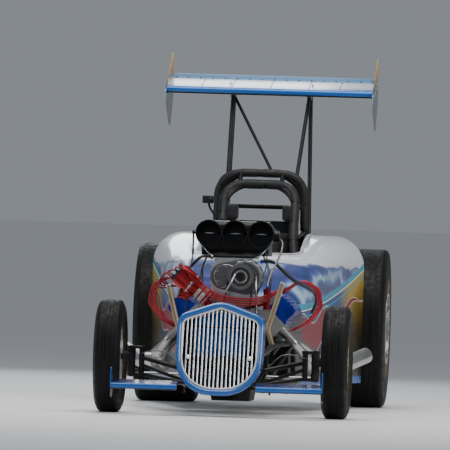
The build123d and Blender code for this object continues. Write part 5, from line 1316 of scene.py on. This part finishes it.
# %% [markdown]
# Four red leads hang from the magneto's cap under the blower's cover, in front of the belt, to the left
# bank, and four go round the right side. They are held at both ends, so each is a smooth line through a
# few points with its own sag. Two red looms lie along the heads.

# %% Plug leads and looms
LEAD_R = 4.2


def rods(name, finish, slot, *runs):
    """Straight or bent rods as one piece, from rows of (radius, sides, places)."""
    shape = bmesh.new()
    for radius, sides, places in runs:
        tube(shape, [at(*place) for place in places], radius, sides)
    piece(name, shape, finish, slot)


terminals.sort(key=lambda place: place.x)
for i, start in enumerate(terminals[4:]):
    drop = 12 * i
    hose(f"left_lead_{i}", [
        start, start + MAG_WAY * 0.030 + Vector((0.01, -0.02, 0.010)),
        at(-215, 372, 770 - drop), at(-120, 368, 672 - drop), at(-20, 372, 636 - drop),
        at(90, 374, 630 - drop), at(165, 400, 640 - drop), at(225, 470, 668 - drop * 0.6),
        at(262, 560 + 20 * i, 690 - drop * 0.4), at(286, 620 + 20 * i, 694),
    ], LEAD_R, red_silicone, "wire_red")
for i, start in enumerate(terminals[:4]):
    hose(f"right_lead_{i}", [
        start, start + MAG_WAY * 0.028, at(-372 - 10 * i, 490, 768 - 14 * i),
        at(-392 - 6 * i, 560, 726 - 20 * i), at(-345, 600 + 10 * i, 690), at(-300, 640 + 20 * i, 684),
    ], LEAD_R, red_silicone, "wire_red")

loom_red = worked_finish(
    "loom_red", (0.16, 0.004, 0.010), (0.30, 0.012, 0.020), 0.0, 0.55, scale=220, dust=0.0)
rods("wire_looms", loom_red, "wire_red", *(
    (10.5, 14, ((sign * 278, 615, 684), (sign * 272, 800, 682), (sign * 276, 1050, 684)))
    for sign in (-1, 1)))
print("leads and looms made")

# %% [markdown]
# The lines are steel braid or smooth black rubber, and their ends are anodised in red and blue. Two
# waves that cross make the braid, which is close enough at this distance and costs no geometry.

# %% Hose finishes
braid = Finish("steel_braid", 0.85, 0.36)
weave = braid.times(*(
    braid.wave(130.0, {"Phase Offset": shift}, bands_direction=way)
    for shift, way in ((0.0, "Z"), (1.2, "DIAGONAL"))))
braid.feed("Base Color", braid.mix(weave, (0.10, 0.10, 0.10), (0.58, 0.58, 0.58)))
braid.relief(weave, 0.6, 0.0006)
hose_black = worked_finish(
    "black_hose", (0.008, 0.008, 0.009), (0.030, 0.030, 0.032), 0.0, 0.5, scale=260, bump=0.4, dust=0.0)
fitting_blue = worked_finish(
    "fitting_blue", (0.01, 0.05, 0.34), (0.03, 0.12, 0.62), 0.8, 0.28, scale=200, dust=0.0)
fitting_red = worked_finish(
    "fitting_red", (0.35, 0.010, 0.014), (0.62, 0.03, 0.035), 0.8, 0.28, scale=200, dust=0.0)
print("hose finishes made")

# %% [markdown]
# Fuel and oil lines run from the hat and the blower down to the engine, and brake lines out to the front
# wheels. They could hang by a simulation, but each is held at both ends and stiff, so a smooth curve
# through a few points does. Each ends in a turned fitting with six sides.

# %% Hoses and fittings
fittings = {"blue": bmesh.new(), "red": bmesh.new()}
FITTING_PROFILE = ((0, 0.8), (0, 1.25), (1.6, 1.2), (1.9, 0.9), (2.6, 0.9))


def fitting(kind, place, way, radius):
    """A turned hose end with a hexagon nut."""
    profile = [(along * radius, out * radius) for along, out in FITTING_PROFILE]
    turn(fittings[kind], profile, place, Vector(way).normalized(), 6)


BRAKE_LINE = ((196, -10, 196), (285, -40, 330), (380, -30, 345), (452, -10, 320))
HOSES = (
    # name, finish, radius, fitting, points
    ("hat_feed", braid.material, 6.2, "blue", (
        (240, 668, 962), (262, 640, 950), (262, 600, 900), (240, 560, 840), (205, 500, 760), (196, 460, 700),
        (196, 455, 690))),
    ("oil_hose", hose_black, 9.5, "blue", (
        (150, 590, 835), (205, 560, 850), (262, 560, 800), (330, 600, 735), (420, 760, 690),
        (452, 1000, 640), (400, 1240, 560))),
    ("right_feed", hose_black, 8, "red", (
        (-118, 610, 850), (-165, 560, 866), (-205, 545, 830), (-262, 600, 770), (-315, 760, 745))),
    ("idle_line", braid.material, 4.5, "red", (
        (165, 640, 900), (185, 600, 860), (176, 560, 780), (150, 556, 700), (128, 590, 640))),
    ("brake_line_left", braid.material, 3.2, "blue", BRAKE_LINE),
    ("brake_line_right", braid.material, 3.2, "blue", [(-x, back, z) for x, back, z in BRAKE_LINE]),
)
for name, finish, radius, kind, run in HOSES:
    points = [at(*place) for place in run]
    hose(name, points, radius, finish, "engine_black")
    fitting(kind, points[0], points[1] - points[0], radius)
    fitting(kind, points[-1], points[-2] - points[-1], radius)
print("hoses made:", len(HOSES))

# %% [markdown]
# Thin braided lines feed a nozzle at each intake port, from a block under the hat. A loop over the four
# ports makes both sides. A cable and four thin rods in front of the engine work and brace the throttle.

# %% Nozzle lines, cable and rods
for i, distance in enumerate((610, 715, 820, 925)):
    for sign, side in ((-1, "right"), (1, "left")):
        port = at(sign * 144, distance, 598)
        way = Vector((sign * 0.75, 0, 0.66))
        fitting("blue" if i % 2 else "red", port, way, 5.2)
        hose(f"nozzle_line_{i}_{side}", [
            port + way * 0.012, port + way * 0.040, at(sign * 190, distance - 8, 700),
            at(sign * 185, 700 + 20 * i, 815), at(sign * 150, 680 + 30 * i, 868),
        ], 2.6, braid.material, "steel")
for kind, finish, slot in (("blue", fitting_blue, "cover_blue"), ("red", fitting_red, "ignition_red")):
    piece(f"hose_ends_{kind}", fittings[kind], finish, slot, smooth=False)

CABLE = ((-232, 655, 860), (-234, 560, 800), (-232, 460, 700), (-246, 400, 580), (-246, 560, 470),
         (-255, 900, 420))
hose("throttle_cable", [at(*place) for place in CABLE], 4, hose_black, "engine_black")
# A stay before the cover, the oil filler's pipe and the two links of the throttle
rods("front_rods", machined, "steel",
     (5, 10, ((24, 386, 764), (-52, 386, 615))),
     (6.5, 12, ((130, 520, 755), (134, 470, 640), (142, 455, 540), (150, 450, 440))),
     (4.5, 10, ((-195, 660, 930), (-120, 590, 852))),
     (4.5, 10, ((195, 660, 930), (130, 590, 852))))
print("nozzle lines, cable and rods made")

# %% [markdown]
# Fasteners all over the car: nuts along the valve covers' edges, on the heads and the header flanges,
# round the bellhousing, on the engine plates and on the wing's plates. Each row is a loop over known
# places, and one mesh holds them all.

# %% Engine and frame fasteners
BANK = Vector((sin(pi / 4), 0, cos(pi / 4)))
ACROSS = Vector((cos(pi / 4), 0, -sin(pi / 4)))
BELL_NUTS, BELL_RING = 12, 152
COVER_NUTS, HEAD_NUTS, MANIFOLD_NUTS, BLOWER_NUTS = 7, 5, 6, 8
PORTS = (0.572, 0.700, 0.858, 0.986)
SHELL_BOLT_UP = 0.2164
WING_PLATE_HOLES = ((3330, 1853), (3460, 1883))
END_PLATE_RIVETS = ((3260, 1800), (3360, 1820), (3460, 1850), (3560, 1875))

nuts = bmesh.new()


def bank_nut(sign, along, across, y, way, radius, rise):
    """A nut on a bank of the engine, at a place along the cylinders and across them."""
    place = BANK * along + ACROSS * across
    spot = Vector((sign * place.x, y, CRANK_AXIS.z + place.z))
    nut(nuts, spot, (sign * way.x, way.y, way.z), radius, rise)


for sign in (-1, 1):
    for i in range(COVER_NUTS):
        for across in (-0.0665, 0.0665):
            bank_nut(sign, 0.358, across, aft(0.530 + i * 0.083), BANK, 4, 5)
    for i in range(HEAD_NUTS):
        bank_nut(sign, 0.338, 0.0752, aft(0.520 + i * 0.128), ACROSS, 6, 5.5)
    for distance in PORTS:
        for step in (-0.030, 0.030):
            bank_nut(sign, 0.312, 0.0875, aft(distance) + step, ACROSS, 4.8, 6)
    for z in (215, 270, 335, 372):
        nut(nuts, at(sign * 212, 484, z), FORWARD, 6.5, 7)
    for i in range(MANIFOLD_NUTS):
        nut(nuts, at(sign * 95, 610 + i * 66, 642.5), (0, 0, 1), 5, 8)
    for i in range(BLOWER_NUTS):
        nut(nuts, at(sign * 102, 610 + i * 49, 865.5), (0, 0, 1), 4, 5)
    for back, z in WING_PLATE_HOLES:
        nut(nuts, at(sign * 236.2, back, z), (sign, 0, 0), 6, 6)
    for back, z in END_PLATE_RIVETS:
        rivet(nuts, at(sign * 602.6, back, z), (sign, 0, 0), 6, 3)
for i in range(BELL_NUTS):
    nut(nuts, around(CRANK_AXIS, 2 * pi * i / BELL_NUTS + 0.26, BELL_RING, aft(1.104)), (0, 1, 0), 5.5, 6)
piece("fasteners", nuts, machined, "steel", smooth=False)

turned("grille_bolts", chrome, "chrome_trim", *(
    ([(0, 11.5), (2, 12), (3.5, 10), (4, 6), (7.5, 5), (8, 0)],
     grille_point(x, SHELL_BOLT_UP, 0.0) + Vector((0, 0.0085, 0)), GRILLE_OUT, 24)
    for x in (-0.168, 0.168)))
print("fasteners made")

# %% [markdown]
# The breather tubes and the fuel tank end in turned caps with a rolled rim. They could be cylinders with
# bevelled edges, but a spun profile has the rim in it. A cap sits on the end of its tube and looks along
# it, so its direction is the tube's own.

# %% Tube and tank caps
BREATHERS = (((286, 372, 724), (210, 372, 470)), ((-340, 372, 696), (-290, 372, 500)))

caps = bmesh.new()
for end, before in BREATHERS:
    way = (at(*end) - at(*before)).normalized()
    turn(caps, [(0, 14), (0.5, 16.5), (12, 16.5), (14, 14), (14.5, 0)], at(*end) - way * 0.012, way, 24)
turn(caps, [(0, 36), (1, 41), (10, 42), (14, 39), (15, 0)], at(0, 235, 527), (0, 0, 1), 36)
piece("tube_caps", caps, machined, "steel")
print("caps made for", len(BREATHERS), "tubes and the tank")

# %% [markdown]
# Every rim gets lug nuts and a valve, and the wide rear rims get a ring of beadlock bolts as well. The
# rear brake discs are drilled. The holes could be cut, but each is only a few millimetres across, so flat
# dark spots in rings show them, painted shade for the holes. Pieces on a turning wheel ride on that wheel's
# body.

# %% Wheel hardware
LUGS, LUG_ANGLE = 5, 0.3
VALVE_ANGLE, VALVE_RING = 1.9, 0.168
BEAD_RING, BEAD_BOLTS, BEAD_FACE = 0.1985, 24, 0.1782
DISC_X, DISC_HALF = 0.441, 0.0052
HOLE_RINGS = ((0.082, 12, 0.0), (0.102, 16, 0.1), (0.122, 20, 0.2))


def radial(angle):
    """A direction at an angle round the axle."""
    return Vector((0, cos(angle), sin(angle)))


def wheel_hardware(name, body, x, axle, sign, disc_out, lug_ring, bead_bolts=0):
    """Lug nuts, an optional beadlock ring and a valve on one wheel."""
    shape = bmesh.new()
    way = Vector((sign, 0, 0))
    centre = Vector((sign * x, *axle))
    for i in range(LUGS):
        turn(shape, [(0, 11.5), (3, 11.5), (6, 10), (22, 9.5), (26, 7), (27, 0)],
             centre + way * disc_out + radial(2 * pi * i / LUGS + LUG_ANGLE) * lug_ring, way, 6)
    for i in range(bead_bolts):
        nut(shape, centre + way * BEAD_FACE + radial(2 * pi * i / bead_bolts) * BEAD_RING, way, 4.8, 3.4)
    turn(shape, [(0, 5), (26, 4), (27, 4.8), (34, 4.8), (35, 0)],
         centre + way * (disc_out + 0.004) + radial(VALVE_ANGLE) * VALVE_RING, way, 12)
    piece(name, shape, bright, "polished_alloy", body, smooth=False)


for sign, side in ((1, "left"), (-1, "right")):
    wheel_hardware(f"front_lugs_{side}", f"wheel_{side}", 0.6155, AXLE_FRONT, sign, 0.0072, 0.062)
    wheel_hardware(f"rear_lugs_{side}", "rear_wheels", 0.545, AXLE_REAR, sign, -0.0458, 0.076, BEAD_BOLTS)
    # Flat dark spots: painted shade for the drilled holes
    hole_shade = bmesh.new()
    for ring, count, first in HOLE_RINGS:
        for i in range(count):
            out = radial(2 * pi * i / count + first) * ring
            for face in (1, -1):
                place = Vector((sign * (DISC_X + face * DISC_HALF), *AXLE_REAR)) + out
                bmesh.ops.create_circle(hole_shade, cap_ends=True, segments=10, radius=4.5 * MM,
                                        matrix=facing(place, (sign * face, 0, 0)))
    piece(f"disc_hole_shade_{side}", hole_shade, engine_black, "engine_black", "rear_wheels",
          smooth=False, closed=False)
print("wheel hardware made")

# %% [markdown]
# The cockpit opening has a padded edge: a pale grey roll that follows the body's own surface all round.
# Its height comes from rays cast down on the body, so it lies on the paint wherever the body slopes. One
# section is carried round the opening and bridged to itself.

# %% Cockpit edge
FRONT_Y, BACK_Y, HALF_X, CORNER_R = aft(1.840), aft(2.775), 0.292, 0.070
RAY_TOP = 1.6
LOWEST_DECK = 0.55
EDGE_SECTION = ((13, 1.2), (10, 5), (2, 8), (-6, 5.8), (-12, -4), (-15, -20), (-13, -30), (-4, -27.5),
                (-2, -6), (4, 1))


def body_height(x, y):
    """Height of the body's outside at a place seen from above, and its facing."""
    hit, place, normal, _ = nodes["body_shell"].ray_cast(Vector((x, y, RAY_TOP)), Vector((0, 0, -1)))
    return (place.z, normal) if hit and place.z > LOWEST_DECK else (None, None)


corners = []
for side, end_y, first in ((1, BACK_Y - CORNER_R, 0), (-1, BACK_Y - CORNER_R, 90),
                           (-1, FRONT_Y + CORNER_R, 180), (1, FRONT_Y + CORNER_R, 270)):
    for i in range(9):
        angle = radians(first + i * 90 / 8)
        x = side * (HALF_X - CORNER_R) + CORNER_R * cos(angle)
        corners.append(Vector((x, end_y + CORNER_R * sin(angle), 0)))
edge = evenly([*corners, corners[0]], 16)[:-1]
rows = []
for i, point in enumerate(edge):
    after = edge[i + 1] if i + 1 < len(edge) else edge[0]
    before = edge[i - 1] if i else corners[0]
    way = (after - before).normalized()
    out = Vector((way.y, -way.x, 0))
    near = point + out * 0.010
    rows.append((point, out, body_height(near.x, near.y)[0]))
known = [height for _, _, height in rows if height is not None]
fallback = sum(known) / len(known)
edge_roll = bmesh.new()
sweep(edge_roll, [
    [point + out * u * MM + Vector((0, 0, (fallback if height is None else height) + v * MM))
     for u, v in EDGE_SECTION] for point, out, height in rows], loop=True)
edge_grey = worked_finish(
    "coaming_grey", (0.30, 0.31, 0.33), (0.46, 0.47, 0.49), 0.0, 0.42, scale=180, bump=0.2, dust=0.0)
piece("cockpit_edge", edge_roll, edge_grey, "panel_alloy")
print("cockpit edge from", round(min(known), 3), "to", round(max(known), 3), "m high")

# %% [markdown]
# Small turn fasteners hold the body's panels on. They could be painted dots, but their rims catch the
# light. Those on the deck find their height and their facing with the same rays, and those on the flanks
# stand where the panel is flat, so their places are given.

# %% Turn fasteners
HEAD = ((0, 10), (1.2, 9.6), (1.6, 7), (1, 6.2), (1, 0))

heads = bmesh.new()
places = [(sign * x, aft(1.275)) for sign in (-1, 1) for x in (0.06, 0.14, 0.22)]
places += [(sign * 0.318, aft(d)) for sign in (-1, 1) for d in (2.86, 3.00, 3.14, 3.28, 3.42)]
places += [(x, aft(3.462)) for x in (-0.20, -0.10, 0.0, 0.10, 0.20)]
for x, y in places:
    height, normal = body_height(x, y)
    if height is not None:
        turn(heads, HEAD, Vector((x, y, height - 0.0002)), normal, 18)
for sign in (-1, 1):
    for z in (200, 300, 400, 500):
        turn(heads, HEAD, at(sign * 348.2, 1290, z), (sign * 0.97, -0.15, 0), 18)
piece("turn_fasteners", heads, bright, "polished_alloy")
print("turn fasteners made")

# %% [markdown]
# A small action camera stands on an arm clamped to the right leg of the front hoop, as the photograph
# shows. It is a plain rounded case with a lens, and the arm is a bent rod with a turned clamp.

# %% Camera on the cage
CASE = at(-292, 2520, 1172)

case = bmesh.new()
block(case, Matrix.Translation(CASE), (62, 32, 44), 5)
piece("cage_camera_case", case, engine_black, "frame_black")
arm = bmesh.new()
arm_bends = [CASE + Vector((0.004, 0.004, -0.022)), CASE + Vector((0.014, 0.006, -0.052)),
             at(-226, 2490, 1052)]
tube(arm, arm_bends, 6.5, 12)
turn(arm, [(0, 12), (2, 12.5), (9, 12.5), (10, 0)], CASE + Vector((0.016, -0.016, 0.002)), FORWARD, 28)
turn(arm, [(-12, 29.5), (-10, 31.5), (10, 31.5), (12, 29.5)], at(-206, 2502, 1052), (0, 0.51, 0.86), 28)
piece("cage_camera_arm", arm, engine_black, "frame_black")
print("cage camera made")
